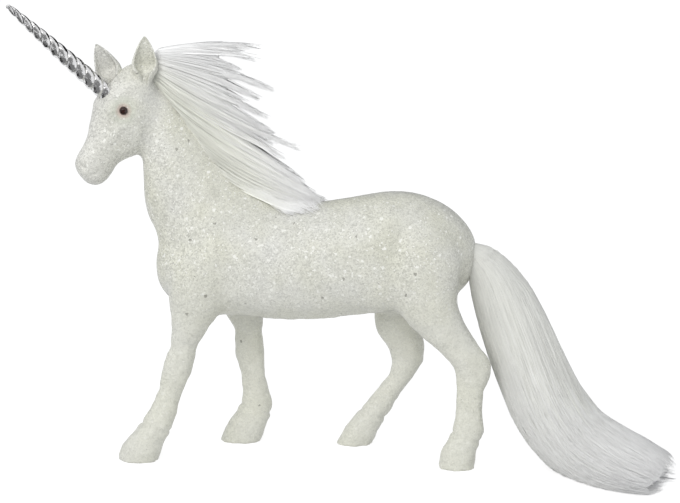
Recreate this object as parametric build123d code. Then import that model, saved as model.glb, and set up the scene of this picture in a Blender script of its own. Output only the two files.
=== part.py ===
from build123d import *
import os
from math import cos, sin, pi, radians, sqrt

# Standing unicorn ornament: carved foam parts on a wire armature under one glitter coat,
# a bright twisted horn, glass bead eyes, and a mane and tail of loose fibre.
# Millimetres. The head faces -X, the animal's left side faces -Y and +Z is up.
# The origin is on the ground below the middle of the whole ornament.

# Body, seen from the side
body_length = 160.0
body_depth = 60.0
body_width = 55.0
belly_height = 72.0

# Neck and head
neck_length = 84.0
neck_depth = 64.0
neck_width = 44.0
neck_slant = 40.0
head_length = 56.0
head_width = 23.0
head_turn = 30.0
nostril_size = 2.4

# Legs
shoulder_height = 125.0
hip_height = 130.0
track_width = 38.0
fore_stride = 50.0
hind_stride = 60.0
hoof_length = 21.2
hoof_width = 17.0

# Ears
ear_height = 22.0
ear_width = 13.5
ear_thickness = 7.0

# Horn
horn_length = 69.0
horn_base_diameter = 9.0
horn_tip_diameter = 2.6
horn_lead = 11.7
horn_spigot_diameter = 3.0
horn_spigot_length = 8.0
horn_seat_depth = 1.5

# Eyes
bead_diameter = 4.2
eye_pin_diameter = 0.8
eye_pin_length = 7.0

# Armature
wire_diameter = 2.0
wire_cover = 4.0
wire_gap = 0.2

# Mane
mane_length = 60.0
mane_thickness = 21.0
weft_width = 6.0
weft_height = 1.2
weft_sink = 2.0

# Tail
tail_length = 110.0
tail_width = 36.0
tail_thickness = 19.0
tail_ground_gap = 0.4
peg_diameter = 4.0
peg_length = 20.0
binding_diameter = 7.5
binding_length = 6.0
binding_offset = 4.0

# Body stations from chest to buttock: along the body length from its middle,
# then top and bottom above the belly line in body depths
body_shares = [
    (-0.577, 0.50, 0.36),
    (-0.566, 0.64, 0.24),
    (-0.540, 0.76, 0.14),
    (-0.490, 0.86, 0.06),
    (-0.410, 0.93, 0.02),
    (-0.300, 0.96, 0.00),
    (-0.180, 0.945, -0.02),
    (-0.060, 0.965, -0.01),
    (0.060, 1.02, 0.03),
    (0.150, 1.06, 0.06),
    (0.230, 1.05, 0.10),
    (0.300, 0.99, 0.13),
    (0.360, 0.89, 0.18),
    (0.400, 0.77, 0.26),
    (0.420, 0.66, 0.38),
]

# Neck stations from the shoulders to the poll: throat x in body lengths from the middle of the
# body, throat z above the withers in neck lengths, size of the slanted section in neck depths
# and widths, and lean toward the left in neck widths
neck_shares = [
    (-0.500, -0.524, 1.030, 0.00),
    (-0.553, -0.405, 0.970, 0.00),
    (-0.570, -0.310, 0.883, 0.00),
    (-0.579, -0.214, 0.816, 0.00),
    (-0.600, -0.119, 0.755, 0.00),
    (-0.612, -0.018, 0.705, 0.00),
    (-0.614, 0.077, 0.640, 0.005),
    (-0.615, 0.167, 0.562, 0.01),
    (-0.619, 0.262, 0.492, 0.02),
    (-0.625, 0.369, 0.406, 0.03),
    (-0.634, 0.476, 0.320, 0.03),
    (-0.644, 0.560, 0.235, 0.03),
]

# The head's own origin, on the line from throat to crest at the top of the neck
poll_place_share = 0.225

# Head stations from poll to lips: face point and jaw point, forward and up from the poll pivot
# in head lengths, then half width in head widths
head_shares = [
    (0.04, 0.42, -0.11, 0.27, 0.22),
    (0.15, 0.40, -0.17, 0.09, 0.38),
    (0.27, 0.29, -0.16, -0.08, 0.47),
    (0.385, 0.155, -0.10, -0.23, 0.51),
    (0.455, 0.035, -0.01, -0.34, 0.49),
    (0.49, -0.08, 0.09, -0.39, 0.44),
    (0.515, -0.19, 0.19, -0.42, 0.37),
    (0.56, -0.28, 0.26, -0.46, 0.335),
    (0.61, -0.36, 0.305, -0.52, 0.345),
    (0.635, -0.435, 0.36, -0.58, 0.345),
    (0.615, -0.51, 0.42, -0.61, 0.28),
    (0.575, -0.565, 0.485, -0.61, 0.15),
]

# Places of the shoulders and hips along the body from its middle
shoulder_place_share = -0.375
hip_place_share = 0.225

# Leg stations from sole to top: height in leg heights, line of the left leg and of the right leg
# behind its shoulder or hip in strides, size in hoof lengths and widths,
# and sideways place in half track widths
fore_leg_shares = [
    (0.000, -0.810, 0.130, 0.97, 1.00),
    (0.040, -0.785, 0.165, 0.99, 1.00),
    (0.085, -0.730, 0.215, 0.93, 1.00),
    (0.128, -0.650, 0.275, 0.82, 1.00),
    (0.170, -0.590, 0.298, 0.75, 1.00),
    (0.215, -0.540, 0.292, 0.65, 0.99),
    (0.260, -0.500, 0.280, 0.60, 0.98),
    (0.300, -0.465, 0.262, 0.60, 0.97),
    (0.345, -0.422, 0.245, 0.66, 0.96),
    (0.385, -0.396, 0.230, 0.71, 0.95),
    (0.430, -0.370, 0.228, 0.69, 0.94),
    (0.470, -0.340, 0.225, 0.67, 0.93),
    (0.510, -0.315, 0.210, 0.79, 0.92),
    (0.550, -0.280, 0.180, 0.92, 0.90),
    (0.600, -0.240, 0.120, 1.18, 0.85),
    (0.660, -0.200, 0.040, 1.46, 0.80),
    (0.740, -0.150, -0.040, 1.66, 0.77),
    (0.830, -0.080, -0.040, 1.60, 0.74),
    (0.910, 0.000, 0.020, 1.24, 0.66),
    (0.960, 0.060, 0.060, 0.80, 0.58),
]
hind_leg_shares = [
    (0.000, 0.400, -0.505, 0.86, 0.97),
    (0.046, 0.410, -0.455, 0.84, 0.97),
    (0.092, 0.445, -0.395, 0.78, 0.97),
    (0.146, 0.492, -0.312, 0.73, 0.96),
    (0.215, 0.501, -0.212, 0.62, 0.95),
    (0.275, 0.501, -0.116, 0.61, 0.94),
    (0.315, 0.511, -0.070, 0.66, 0.93),
    (0.357, 0.526, -0.047, 0.78, 0.92),
    (0.400, 0.518, -0.062, 0.89, 0.91),
    (0.436, 0.470, -0.094, 0.99, 0.90),
    (0.470, 0.398, -0.122, 1.04, 0.89),
    (0.520, 0.298, -0.110, 1.24, 0.86),
    (0.580, 0.215, -0.055, 1.46, 0.83),
    (0.640, 0.160, 0.010, 1.66, 0.79),
    (0.720, 0.120, 0.060, 1.90, 0.70),
    (0.810, 0.090, 0.070, 1.96, 0.66),
    (0.890, 0.080, 0.075, 1.64, 0.62),
    (0.945, 0.080, 0.080, 1.00, 0.58),
]

# Ear stations from root to tip: height, then size. The scoop hollows the front of the ear
ear_shares = [
    (-0.30, 0.66),
    (0.00, 0.94),
    (0.24, 1.00),
    (0.50, 0.84),
    (0.74, 0.57),
    (0.91, 0.29),
    (1.00, 0.08),
]
ear_scoop_shares = [
    (0.02, 0.34),
    (0.28, 0.74),
    (0.52, 0.66),
    (0.76, 0.40),
    (0.92, 0.12),
]

# Ear places on the head: forward, to the left and up in head lengths, then lean forward,
# lean outward and turn in degrees
left_ear_shares = (0.03, 0.143, 0.29)
right_ear_shares = (0.218, -0.107, 0.25)
left_ear_angles = (1.0, 4.0, 68.0)
right_ear_angles = (25.0, 0.0, 55.0)

# Horn and eye places on the head, in head lengths and half head widths
horn_seat_share = (0.334, 0.17)
horn_rise = 42.6
eye_shares = (0.255, 0.042)
eye_side_share = 0.96
nostril_shares = (0.585, -0.45, 0.42)

# Wire routes: low and top ends of each leg's wire in strides behind its shoulder or hip, its top
# in leg heights and half track widths, then the height of the spine wire, its ends along the
# body, and the foot of the neck wire along the body
leg_wire_shares = {
    "front_left": (-0.72, -0.18),
    "front_right": (0.26, 0.16),
    "hind_left": (0.508, 0.342),
    "hind_right": (-0.433, 0.228),
}
wire_top_share = 0.70
wire_out_share = 0.78
spine_height_share = 0.55
spine_end_shares = (-0.44, 0.26)
neck_wire_share = -0.375

# Locks of the mane, from the poll down: place on the crest, then reach back, rise and arch in
# mane lengths, width in mane lengths, thickness in mane thicknesses
mane_lock_shares = [
    (0.02, 0.40, 0.30, 0.11, 0.20, 0.55),
    (0.05, 0.80, 0.32, 0.10, 0.25, 0.62),
    (0.10, 0.84, 0.15, 0.12, 0.25, 0.70),
    (0.17, 0.90, -0.08, 0.12, 0.25, 0.80),
    (0.26, 0.78, -0.14, 0.10, 0.26, 0.90),
    (0.34, 0.82, -0.26, 0.08, 0.26, 0.92),
    (0.44, 0.89, -0.29, 0.06, 0.26, 0.94),
    (0.54, 0.70, -0.29, 0.07, 0.25, 0.92),
    (0.66, 0.67, -0.265, 0.06, 0.23, 0.84),
    (0.80, 0.59, -0.18, 0.05, 0.19, 0.66),
    (0.90, 0.53, -0.18, 0.05, 0.16, 0.54),
    (0.97, 0.42, -0.10, 0.02, 0.17, 0.44),
]
lock_profile_shares = [
    (-0.16, 0.70),
    (0.00, 0.96),
    (0.28, 1.00),
    (0.58, 0.78),
    (0.84, 0.42),
    (1.00, 0.10),
]

# Place of the dock, where the tail leaves the rump: along the body, and up in body depths
dock_share = (0.41, 0.59)

# Tail stations from the dock to the end: back from the dock, to the left and up from the ground
# in tail lengths, then half height in tail widths and half width in tail thicknesses
tail_shares = [
    (-0.015, 0.00, 1.000, 0.14, 0.24),
    (0.060, 0.01, 0.930, 0.28, 0.38),
    (0.135, 0.02, 0.792, 0.42, 0.46),
    (0.203, 0.04, 0.630, 0.50, 0.50),
    (0.280, 0.07, 0.449, 0.535, 0.58),
    (0.370, 0.11, 0.272, 0.555, 0.76),
    (0.486, 0.16, 0.145, 0.520, 1.05),
    (0.632, 0.22, 0.080, 0.445, 1.42),
    (0.760, 0.26, 0.050, 0.370, 1.62),
    (0.850, 0.28, 0.030, 0.260, 1.55),
]

# Tips of the tail that fan out on the ground: start and end to the left, end behind the dock
tail_tip_shares = [
    (0.52, 0.53, 0.79, 0.10),
    (0.44, 0.47, 0.87, 0.10),
    (0.36, 0.40, 0.93, 0.11),
    (0.28, 0.32, 0.90, 0.11),
    (0.20, 0.25, 0.93, 0.11),
    (0.12, 0.17, 0.90, 0.11),
    (0.05, 0.10, 0.92, 0.10),
    (-0.01, 0.02, 0.88, 0.09),
]
tail_tip_start_share = 0.70
tip_profile_shares = [
    (0.00, 1.00),
    (0.50, 0.80),
    (0.80, 0.45),
    (1.00, 0.08),
]

# Thickness of one strand of the horn against the horn's own
strand_share = 0.64

# How much each section widens toward its bottom, and how square its corners are (2 is an ellipse)
body_swell_share = 0.10
neck_swell_share = 0.22
head_swell_share = -0.06
body_squareness = 2.15
head_squareness = 2.1
leg_squareness = 2.1

# Levels of the eye bead's dome in bead radii
bead_level_shares = (0.0, 0.40, 0.70, 0.90, 0.98)

# Sides of each kind of section and numbers of stations
body_sides = 16
neck_sides = 14
head_sides = 14
leg_sides = 12
ear_sides = 10
horn_sides = 12
bead_sides = 16
lock_sides = 8
tail_sides = 12
weft_stations = 6
horn_stations_per_turn = 8


def unit_oval(sides, swell=0, squareness=2):
    """Corners of a faceted oval of radius 1, from the top round.

    swell widens it toward the bottom, and squareness above 2 fills its corners.
    """
    corners = []
    for i in range(sides):
        turn = 2 * pi * i / sides
        c = cos(turn)
        s = sin(turn)
        reach = (abs(c) ** squareness + abs(s) ** squareness) ** (-1 / squareness)
        corners.append((c * reach, s * reach * (1 - swell * c)))
    return corners


def ring(corners, first, second, half_width, side=0):
    """Points round a limb, whose long axis joins two (x, z) points of the side view."""
    centre = Vector((first[0] + second[0]) / 2, side, (first[1] + second[1]) / 2)
    arm = Vector((first[0] - second[0]) / 2, 0, (first[1] - second[1]) / 2)
    return [centre + arm * c + Vector(0, half_width * s, 0) for c, s in corners]


def level_ring(corners, centre, half_length, half_width):
    """Level ring of points around a centre point."""
    front = (centre.X - half_length, centre.Z)
    back = (centre.X + half_length, centre.Z)
    return ring(corners, front, back, half_width, centre.Y)


def cross_ring(corners, centre, run, half_height, half_width):
    """Ring of points square to the direction run."""
    plane = Plane(origin=centre, x_dir=run.cross(Vector(0, 0, 1)), z_dir=run)
    return [plane.from_local_coords(Vector(half_width * s, half_height * c, 0)) for c, s in corners]


def skin(rings):
    """Closed faceted solid through a row of rings, with flat ends."""
    faces = [Face(Wire.make_polygon(rings[0])), Face(Wire.make_polygon(rings[-1]))]
    for low, high in zip(rings, rings[1:]):
        for i in range(len(low)):
            j = (i + 1) % len(low)
            faces.append(Face(Wire.make_polygon([low[i], low[j], high[j]])))
            faces.append(Face(Wire.make_polygon([low[i], high[j], high[i]])))
    return Solid(Shell(faces))


def rod_between(low, high):
    """Straight piece of wire from one point to another."""
    run = high - low
    rod = Cylinder(wire_diameter / 2, run.length, align=(Align.CENTER, Align.CENTER, Align.MIN))
    return Plane(origin=low, z_dir=run) * rod


def between(low, high, share):
    return low + (high - low) * share


def make_body():
    corners = unit_oval(body_sides, body_swell_share, body_squareness)
    rings = []
    for along, top, bottom in body_shares:
        x = along * body_length
        high = (x, belly_height + top * body_depth)
        low = (x, belly_height + bottom * body_depth)
        rings.append(ring(corners, high, low, (top - bottom) / 2 * body_width))
    return skin(rings)


def neck_station(row):
    """Throat point, crest point, half width and sideways place of one neck station."""
    throat_x, throat_z, size, lean = row
    withers = belly_height + body_depth
    throat = Vector(throat_x * body_length, 0, withers + throat_z * neck_length)
    slant = Vector(cos(radians(neck_slant)), 0, sin(radians(neck_slant)))
    crest = throat + slant * (size * neck_depth)
    return throat, crest, size * neck_width / 2, -lean * neck_width


def make_neck():
    corners = unit_oval(neck_sides, neck_swell_share)
    rings = []
    for row in neck_shares:
        throat, crest, half, side = neck_station(row)
        rings.append(ring(corners, (crest.X, crest.Z), (throat.X, throat.Z), half, side))
    return skin(rings)


def crest_point(share):
    """Point of the crest line, 0 at the poll and 1 at the withers."""
    crests = [neck_station(row)[1] for row in reversed(neck_shares[1:])]
    place = share * (len(crests) - 1)
    i = min(int(place), len(crests) - 2)
    return between(crests[i], crests[i + 1], place - i)


def poll_pivot():
    """Place of the head's own origin at the top of the neck, with the head's turn."""
    throat, crest, half, side = neck_station(neck_shares[-2])
    spot = between(throat, crest, poll_place_share)
    return Location((spot.X, side, spot.Z), (0, 0, head_turn))


def on_head(forward, left, up):
    """Point given in shares of the head, in the head's own frame."""
    return Vector(-forward * head_length, -left * head_length, up * head_length)


def make_head():
    corners = unit_oval(head_sides, head_swell_share, head_squareness)
    rings = []
    for face_forward, face_up, jaw_forward, jaw_up, half in head_shares:
        face = (-face_forward * head_length, face_up * head_length)
        jaw = (-jaw_forward * head_length, jaw_up * head_length)
        rings.append(ring(corners, face, jaw, half * head_width))
    head = skin(rings)
    for side in (-1, 1):
        place = on_head(nostril_shares[0], 0, nostril_shares[1])
        across = side * nostril_shares[2] * head_width / 2
        head -= Pos(place.X, across, place.Z) * Sphere(nostril_size / 2)
    return poll_pivot() * head


def ear_form(shares, shift):
    """Upright tapering form of the ear or of its scoop, shift ahead of the ear's middle."""
    corners = unit_oval(ear_sides)
    rings = []
    for up, size in shares:
        centre = Vector(-shift, 0, up * ear_height)
        rings.append(level_ring(corners, centre, size * ear_thickness / 2, size * ear_width / 2))
    return skin(rings)


def make_ear(spot_shares, angles):
    """Cupped ear on the head. Its opening faces forward before it is leaned and turned."""
    ear = ear_form(ear_shares, 0) - ear_form(ear_scoop_shares, ear_thickness / 2)
    spot = on_head(*spot_shares)
    lean_forward, lean_out, turn = angles
    place = Location((spot.X, spot.Y, spot.Z)) * Rotation(lean_out, -lean_forward, turn)
    return poll_pivot() * place * ear


def leg_ring(corners, height, place, stride, is_left, row):
    """Level ring of one leg at one of its stations."""
    up, left_line, right_line, size, out = row
    line = left_line if is_left else right_line
    side = -1 if is_left else 1
    centre = Vector(place + line * stride, side * out * track_width / 2, up * height)
    return level_ring(corners, centre, size * hoof_length / 2, size * hoof_width / 2)


def make_leg(shares, height, place, stride, is_left):
    corners = unit_oval(leg_sides, squareness=leg_squareness)
    return skin([leg_ring(corners, height, place, stride, is_left, row) for row in shares])


def make_leg_wire(lines, height, place, stride, is_left):
    """A leg's wire, from just above the sole up into the body."""
    side = -1 if is_left else 1
    low = Vector(place + lines[0] * stride, side * track_width / 2, wire_cover)
    top_x = place + lines[1] * stride
    high = Vector(top_x, side * wire_out_share * track_width / 2, wire_top_share * height)
    return rod_between(low, high)


def spine_height():
    return belly_height + spine_height_share * body_depth


def make_spine_wire():
    start = Vector(spine_end_shares[0] * body_length, 0, spine_height())
    end = Vector(spine_end_shares[1] * body_length, 0, spine_height())
    return rod_between(start, end)


def make_neck_wire():
    """Wire that starts beside the spine wire and runs up the middle of the neck into the head."""
    low = Vector(neck_wire_share * body_length, wire_diameter + wire_gap, spine_height())
    throat, crest, half, side = neck_station(neck_shares[-2])
    middle = (throat + crest) / 2
    return rod_between(low, Vector(middle.X, side, middle.Z))


def horn_place():
    """Seat of the horn on the forehead. The horn's own +Z is its axis."""
    spot = on_head(horn_seat_share[0], 0, horn_seat_share[1])
    return poll_pivot() * Location((spot.X, spot.Y, spot.Z)) * Rotation(0, horn_rise - 90, 0)


def horn_section(z):
    """Two-strand section of the horn at height z, turned by the twist."""
    radius = between(horn_base_diameter, horn_tip_diameter, (z / horn_length) ** 2) / 2
    strand = strand_share * radius
    offset = radius - strand
    twist = 2 * pi * z / horn_lead
    points = []
    for i in range(horn_sides):
        turn = 2 * pi * i / horn_sides
        reach = offset * abs(cos(turn)) + sqrt(strand ** 2 - (offset * sin(turn)) ** 2)
        points.append(Vector(reach * cos(turn + twist), reach * sin(turn + twist), z))
    return points


def make_horn():
    """Twisted tapering horn with a plain peg under it."""
    stations = round(horn_stations_per_turn * horn_length / horn_lead)
    twisted = skin([horn_section(horn_length * i / stations) for i in range(stations + 1)])
    peg_height = horn_spigot_length + horn_seat_depth
    peg = Cylinder(horn_spigot_diameter / 2, peg_height, align=(Align.CENTER, Align.CENTER, Align.MIN))
    return horn_place() * Pos(0, 0, -horn_seat_depth) * (twisted + Pos(0, 0, -horn_spigot_length) * peg)


def eye_place(side):
    """Eye centre on one side of the head, with +Z pointing out of the head."""
    spot = on_head(eye_shares[0], 0, eye_shares[1])
    across = side * eye_side_share * head_width / 2
    return poll_pivot() * Location((spot.X, across, spot.Z)) * Rotation(-side * 90, 0, 0)


def make_eye(side):
    """Domed glass bead and the wire pin that holds it."""
    corners = unit_oval(bead_sides)
    rings = []
    for level in bead_level_shares:
        half = bead_diameter / 2 * sqrt(1 - level ** 2)
        rings.append(level_ring(corners, Vector(0, 0, level * bead_diameter / 2), half, half))
    pin = Cylinder(eye_pin_diameter / 2, eye_pin_length, align=(Align.CENTER, Align.CENTER, Align.MAX))
    return eye_place(side) * skin(rings), eye_place(side) * pin


def make_weft():
    """Backing strip that follows the crest from the poll to the withers."""
    rings = []
    for i in range(weft_stations + 1):
        share = i / weft_stations
        spot = crest_point(share)
        run = crest_point(min(share + 1 / weft_stations, 1)) - crest_point(max(share - 1 / weft_stations, 0))
        out = Vector(-run.Z, 0, run.X).normalized()
        half = Vector(0, weft_width / 2, 0)
        top = spot + out * weft_height
        low = spot - out * weft_sink
        rings.append([top + half, top - half, low - half, low + half])
    return skin(rings)


def make_lock(row):
    """One lock of the mane: an arched tapering form from its root in the crest to its tip."""
    share, reach, rise, arch, wide, thick = row
    root = crest_point(share)
    tip = root + Vector(reach * mane_length, 0, rise * mane_length)
    run = (tip - root).normalized()
    bend = (root + tip) / 2 + Vector(-run.Z, 0, run.X) * (arch * mane_length)
    corners = unit_oval(lock_sides)
    rings = []
    for along, size in lock_profile_shares:
        place = root * (1 - along) ** 2 + bend * (2 * along * (1 - along)) + tip * along ** 2
        slope = ((bend - root) * (1 - along) + (tip - bend) * along).normalized()
        out = Vector(-slope.Z, 0, slope.X) * (size * wide * mane_length / 2)
        high = place + out
        low = place - out
        half = thick * size * mane_thickness / 2
        rings.append(ring(corners, (high.X, high.Z), (low.X, low.Z), half))
    return skin(rings)


def make_mane():
    """Locks that leave the crest and sweep back, joined at their roots."""
    locks = [make_lock(row) for row in mane_lock_shares]
    return locks[0].fuse(*locks[1:]).solid()


def dock():
    """Point where the tail leaves the rump."""
    along, up = dock_share
    return Vector(along * body_length, 0, belly_height + up * body_depth)


def tail_centre(row):
    back, left, up, tall, wide = row
    start = dock()
    return Vector(start.X + back * tail_length, -left * tail_length, up * start.Z)


def tail_tip(row):
    """One pointed lock of the tail's end, flat on the ground."""
    left_start, left_end, back_end, wide = row
    start = dock().X
    root = Vector(start + tail_tip_start_share * tail_length, -left_start * tail_length, tail_ground_gap)
    tip = Vector(start + back_end * tail_length, -left_end * tail_length, tail_ground_gap)
    run = (tip - root).normalized()
    corners = unit_oval(lock_sides)
    rings = []
    for along, size in tip_profile_shares:
        half = size * wide * tail_length / 2
        rings.append(cross_ring(corners, between(root, tip, along), run, half, half))
    return skin(rings)


def make_tail():
    """Hank that falls from the dock, lies down and fans out toward the animal's left."""
    centres = [tail_centre(row) for row in tail_shares]
    corners = unit_oval(tail_sides)
    rings = []
    for i, row in enumerate(tail_shares):
        ahead = centres[min(i + 1, len(centres) - 1)]
        behind = centres[max(i - 1, 0)]
        run = (ahead - behind).normalized()
        rings.append(cross_ring(corners, centres[i], run, row[3] * tail_width, row[4] * tail_thickness))
    tail = skin(rings).fuse(*[tail_tip(row) for row in tail_tip_shares]).solid()
    reach = 2 * (tail_length + body_length)
    ground = Box(reach, reach, reach, align=(Align.CENTER, Align.CENTER, Align.MAX))
    return (tail - Pos(0, 0, tail_ground_gap) * ground).solid()


def peg_place():
    """Axis of the tail peg: its own +Z runs out of the rump along the tail's root."""
    first = tail_centre(tail_shares[0])
    second = tail_centre(tail_shares[1])
    return Plane(origin=first, z_dir=second - first)


def make_tail_peg():
    rod = Cylinder(peg_diameter / 2, peg_length)
    return peg_place() * rod


def make_tail_binding():
    sleeve = Cylinder(binding_diameter / 2, binding_length, align=(Align.CENTER, Align.CENTER, Align.MIN))
    return peg_place() * Pos(0, 0, binding_offset) * sleeve


def wire_holders(name):
    """Foam pieces that a wire runs through."""
    if name == "spine_wire":
        return ["torso"]
    if name == "neck_wire":
        return ["torso", "neck", "head"]
    return ["torso", name.removesuffix("_wire")]


def main():
    body = make_body()
    neck = make_neck()
    head = make_head()
    horn = make_horn()
    left_ear = make_ear(left_ear_shares, left_ear_angles)
    right_ear = make_ear(right_ear_shares, right_ear_angles)
    left_bead, left_pin = make_eye(-1)
    right_bead, right_pin = make_eye(1)
    fore = (fore_leg_shares, shoulder_height, shoulder_place_share * body_length, fore_stride)
    hind = (hind_leg_shares, hip_height, hip_place_share * body_length, hind_stride)
    legs = {}
    wires = {}
    for name, sizes in (("front", fore), ("hind", hind)):
        for is_left in (True, False):
            side = "left" if is_left else "right"
            corner = name + "_" + side
            legs[corner + "_leg"] = make_leg(*sizes, is_left)
            wires[corner + "_leg_wire"] = make_leg_wire(leg_wire_shares[corner], *sizes[1:], is_left)
    wires["spine_wire"] = make_spine_wire()
    wires["neck_wire"] = make_neck_wire()
    weft = make_weft()
    mane = make_mane()
    tail = make_tail()
    peg = make_tail_peg()
    binding = make_tail_binding()

    # Each piece gives way to the ones it is set on
    neck -= body
    head -= neck
    head = head - horn - left_bead - left_pin - right_bead - right_pin
    left_ear = left_ear - head - neck
    right_ear = right_ear - head - neck
    for name in legs:
        legs[name] = legs[name] - body - neck
    weft = weft - neck - head - body
    mane = mane - weft - neck - head - body - left_ear - right_ear - horn
    binding = binding - body - peg
    tail = tail - body - peg - binding

    parts = {
        "torso": body - peg,
        "neck": neck,
        "head": head,
        "horn": horn,
        "left_ear": left_ear,
        "right_ear": right_ear,
        "left_eye_bead": left_bead,
        "right_eye_bead": right_bead,
        "left_eye_pin": left_pin,
        "right_eye_pin": right_pin,
        "mane_weft": weft,
        "mane_hair": mane,
        "tail_peg": peg,
        "tail_binding": binding,
        "tail_hair": tail,
    }
    parts.update(legs)
    for name, wire in wires.items():
        for holder in wire_holders(name):
            parts[holder] = parts[holder] - wire
    parts.update(wires)

    box = Compound(children=[Part(part.wrapped) for part in parts.values()]).bounding_box()
    shift = Pos(-box.center().X, -box.center().Y, 0)
    os.makedirs("parts", exist_ok=True)
    for name, part in parts.items():
        export_step(shift * part, "parts/" + name + ".step")


main()
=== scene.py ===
# %% [markdown]
# A standing unicorn ornament: a light form under one pearl coat full of fine glitter, with a
# bright twisted horn, bead eyes, and a mane and tail of loose silky fibre. Nothing on it moves.
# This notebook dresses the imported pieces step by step: the coat, the ears, the horn, the eyes,
# the mane and the tail, then the finishes, the light and the camera.

# %% Frame and the sizes that everything starts from
import bpy
import numpy as np
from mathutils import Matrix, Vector


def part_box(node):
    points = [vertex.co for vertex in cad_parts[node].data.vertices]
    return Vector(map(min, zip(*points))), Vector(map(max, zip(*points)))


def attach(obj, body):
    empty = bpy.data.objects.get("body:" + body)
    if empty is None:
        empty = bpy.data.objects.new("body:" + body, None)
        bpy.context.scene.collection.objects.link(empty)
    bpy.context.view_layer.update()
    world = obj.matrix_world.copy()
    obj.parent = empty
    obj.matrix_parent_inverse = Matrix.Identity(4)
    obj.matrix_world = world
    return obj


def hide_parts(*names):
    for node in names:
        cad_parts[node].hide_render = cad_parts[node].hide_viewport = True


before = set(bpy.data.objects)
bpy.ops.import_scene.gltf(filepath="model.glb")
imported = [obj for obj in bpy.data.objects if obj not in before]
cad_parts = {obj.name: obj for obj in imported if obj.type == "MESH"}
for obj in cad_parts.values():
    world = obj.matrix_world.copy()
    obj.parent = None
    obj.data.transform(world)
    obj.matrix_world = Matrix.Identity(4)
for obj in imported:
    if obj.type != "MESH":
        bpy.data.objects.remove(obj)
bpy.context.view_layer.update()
MM = 0.001
body_length = 160 * MM
body_depth = 60 * MM
body_width = 55 * MM
belly_height = 72 * MM
spine_low, spine_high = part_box("spine_wire")
spine_middle_share = -0.09
origin = np.array([
    (spine_low.x + spine_high.x) / 2 - spine_middle_share * body_length,
    (spine_low.y + spine_high.y) / 2,
    0,
])
print("pieces in the frame:", len(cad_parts), "- middle of the body at", origin.round(4))

# %% [markdown]
# Every form here is a skin through rings, as a boat's hull is a skin through its ribs. A row of
# numbers says where a ring lies and how large it is. A Catmull-Rom curve runs through the rows,
# so a few rows give a smooth limb. All points are worked out at once as numpy arrays.

# %% Helpers: curves and shares
def smooth_rows(rows, steps):
    """Catmull-Rom curve through the rows, with steps samples in each span."""
    rows = np.asarray(rows, float)
    more = np.vstack([2 * rows[0] - rows[1], rows, 2 * rows[-1] - rows[-2]])
    a, b, c, d = (more[i:len(rows) - 1 + i, None] for i in range(4))
    t = np.linspace(0, 1, steps, endpoint=False)[:, None]
    curve = 0.5 * (2 * b + (c - a) * t + (2 * a - 5 * b + 4 * c - d) * t**2
                   + (3 * b - a - 3 * c + d) * t**3)
    return np.vstack([curve.reshape(-1, rows.shape[1]), rows[-1:]])


def smooth_step(values, low, high):
    """0 below low, 1 above high, and a smooth S between."""
    t = np.clip((values - low) / (high - low), 0, 1)
    return t * t * (3 - 2 * t)


def dome(share, least=0.0):
    """Quarter circle sqrt(1 - share squared), from 1 at share 0 to about 0 at share 1."""
    return np.sqrt(np.clip(1 - np.clip(share, 0, 1) ** 2, least, 1))


def to_unit(vectors):
    """Vectors brought to length 1."""
    return vectors / (np.linalg.norm(vectors, axis=-1, keepdims=True) + 1e-12)


def columns_of(*parts):
    """Array whose last axis holds the parts, spread to one shape: three parts make points."""
    return np.stack(np.broadcast_arrays(*parts), -1)


def round_angles(count):
    """Angles of evenly spaced places round a circle."""
    return np.linspace(0, 2 * np.pi, count, endpoint=False)


def turn_matrix(axis, angle):
    """Matrix that turns a point by angle about the x, y or z axis."""
    c, s = np.cos(angle), np.sin(angle)
    i, j = {"x": (1, 2), "y": (2, 0), "z": (0, 1)}[axis]
    matrix = np.eye(3)
    matrix[i, i], matrix[j, j], matrix[i, j], matrix[j, i] = c, c, -s, s
    return matrix


# %% Helpers: rings and meshes
def oval(count, swell=0.0, squareness=2.0):
    """Points (c, s) of an oval of radius 1 from its top round. swell widens the bottom."""
    c, s = np.cos(round_angles(count)), np.sin(round_angles(count))
    reach = (np.abs(c)**squareness + np.abs(s)**squareness) ** (-1 / squareness)
    return columns_of(c * reach, s * reach * (1 - swell * c * reach))


def rings(first, second, half, side, shape):
    """Grid of points: each ring's long axis joins two (x, z) points, and half is its half width."""
    (x, z), (ahead, up) = ((first + second) / 2).T, ((first - second) / 2).T
    centre, arm, across = columns_of(x, side, z), columns_of(ahead, 0, up), columns_of(0, half, 0)
    return centre[:, None] + arm[:, None] * shape[:, :1] + across[:, None] * shape[:, 1:]


def grid_faces(rows, columns, start=0):
    """Corner numbers of the four-sided faces of a grid that is closed round its columns."""
    row, column = np.meshgrid(np.arange(rows - 1), np.arange(columns), indexing="ij")
    after = (column + 1) % columns
    low, high = row * columns, (row + 1) * columns
    quads = columns_of(low + column, low + after, high + after, high + column)
    return quads.reshape(-1, 4) + start


def new_piece(name, points, quads, triangles=None):
    """Mesh object from arrays of points, four-sided faces and three-sided faces."""
    triangles = np.zeros((0, 3), int) if triangles is None else triangles
    mesh = bpy.data.meshes.new(name)
    mesh.vertices.add(len(points))
    mesh.vertices.foreach_set("co", np.asarray(points, np.float32).ravel())
    corners = np.concatenate([quads.ravel(), triangles.ravel()])
    mesh.loops.add(len(corners))
    mesh.loops.foreach_set("vertex_index", corners.astype(np.int32))
    starts = np.concatenate([np.arange(len(quads)) * 4, quads.size + np.arange(len(triangles)) * 3])
    mesh.polygons.add(len(starts))
    mesh.polygons.foreach_set("loop_start", starts.astype(np.int32))
    mesh.update(calc_edges=True)
    mesh.shade_smooth()
    piece = bpy.data.objects.new(name, mesh)
    bpy.context.scene.collection.objects.link(piece)
    return piece


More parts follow.
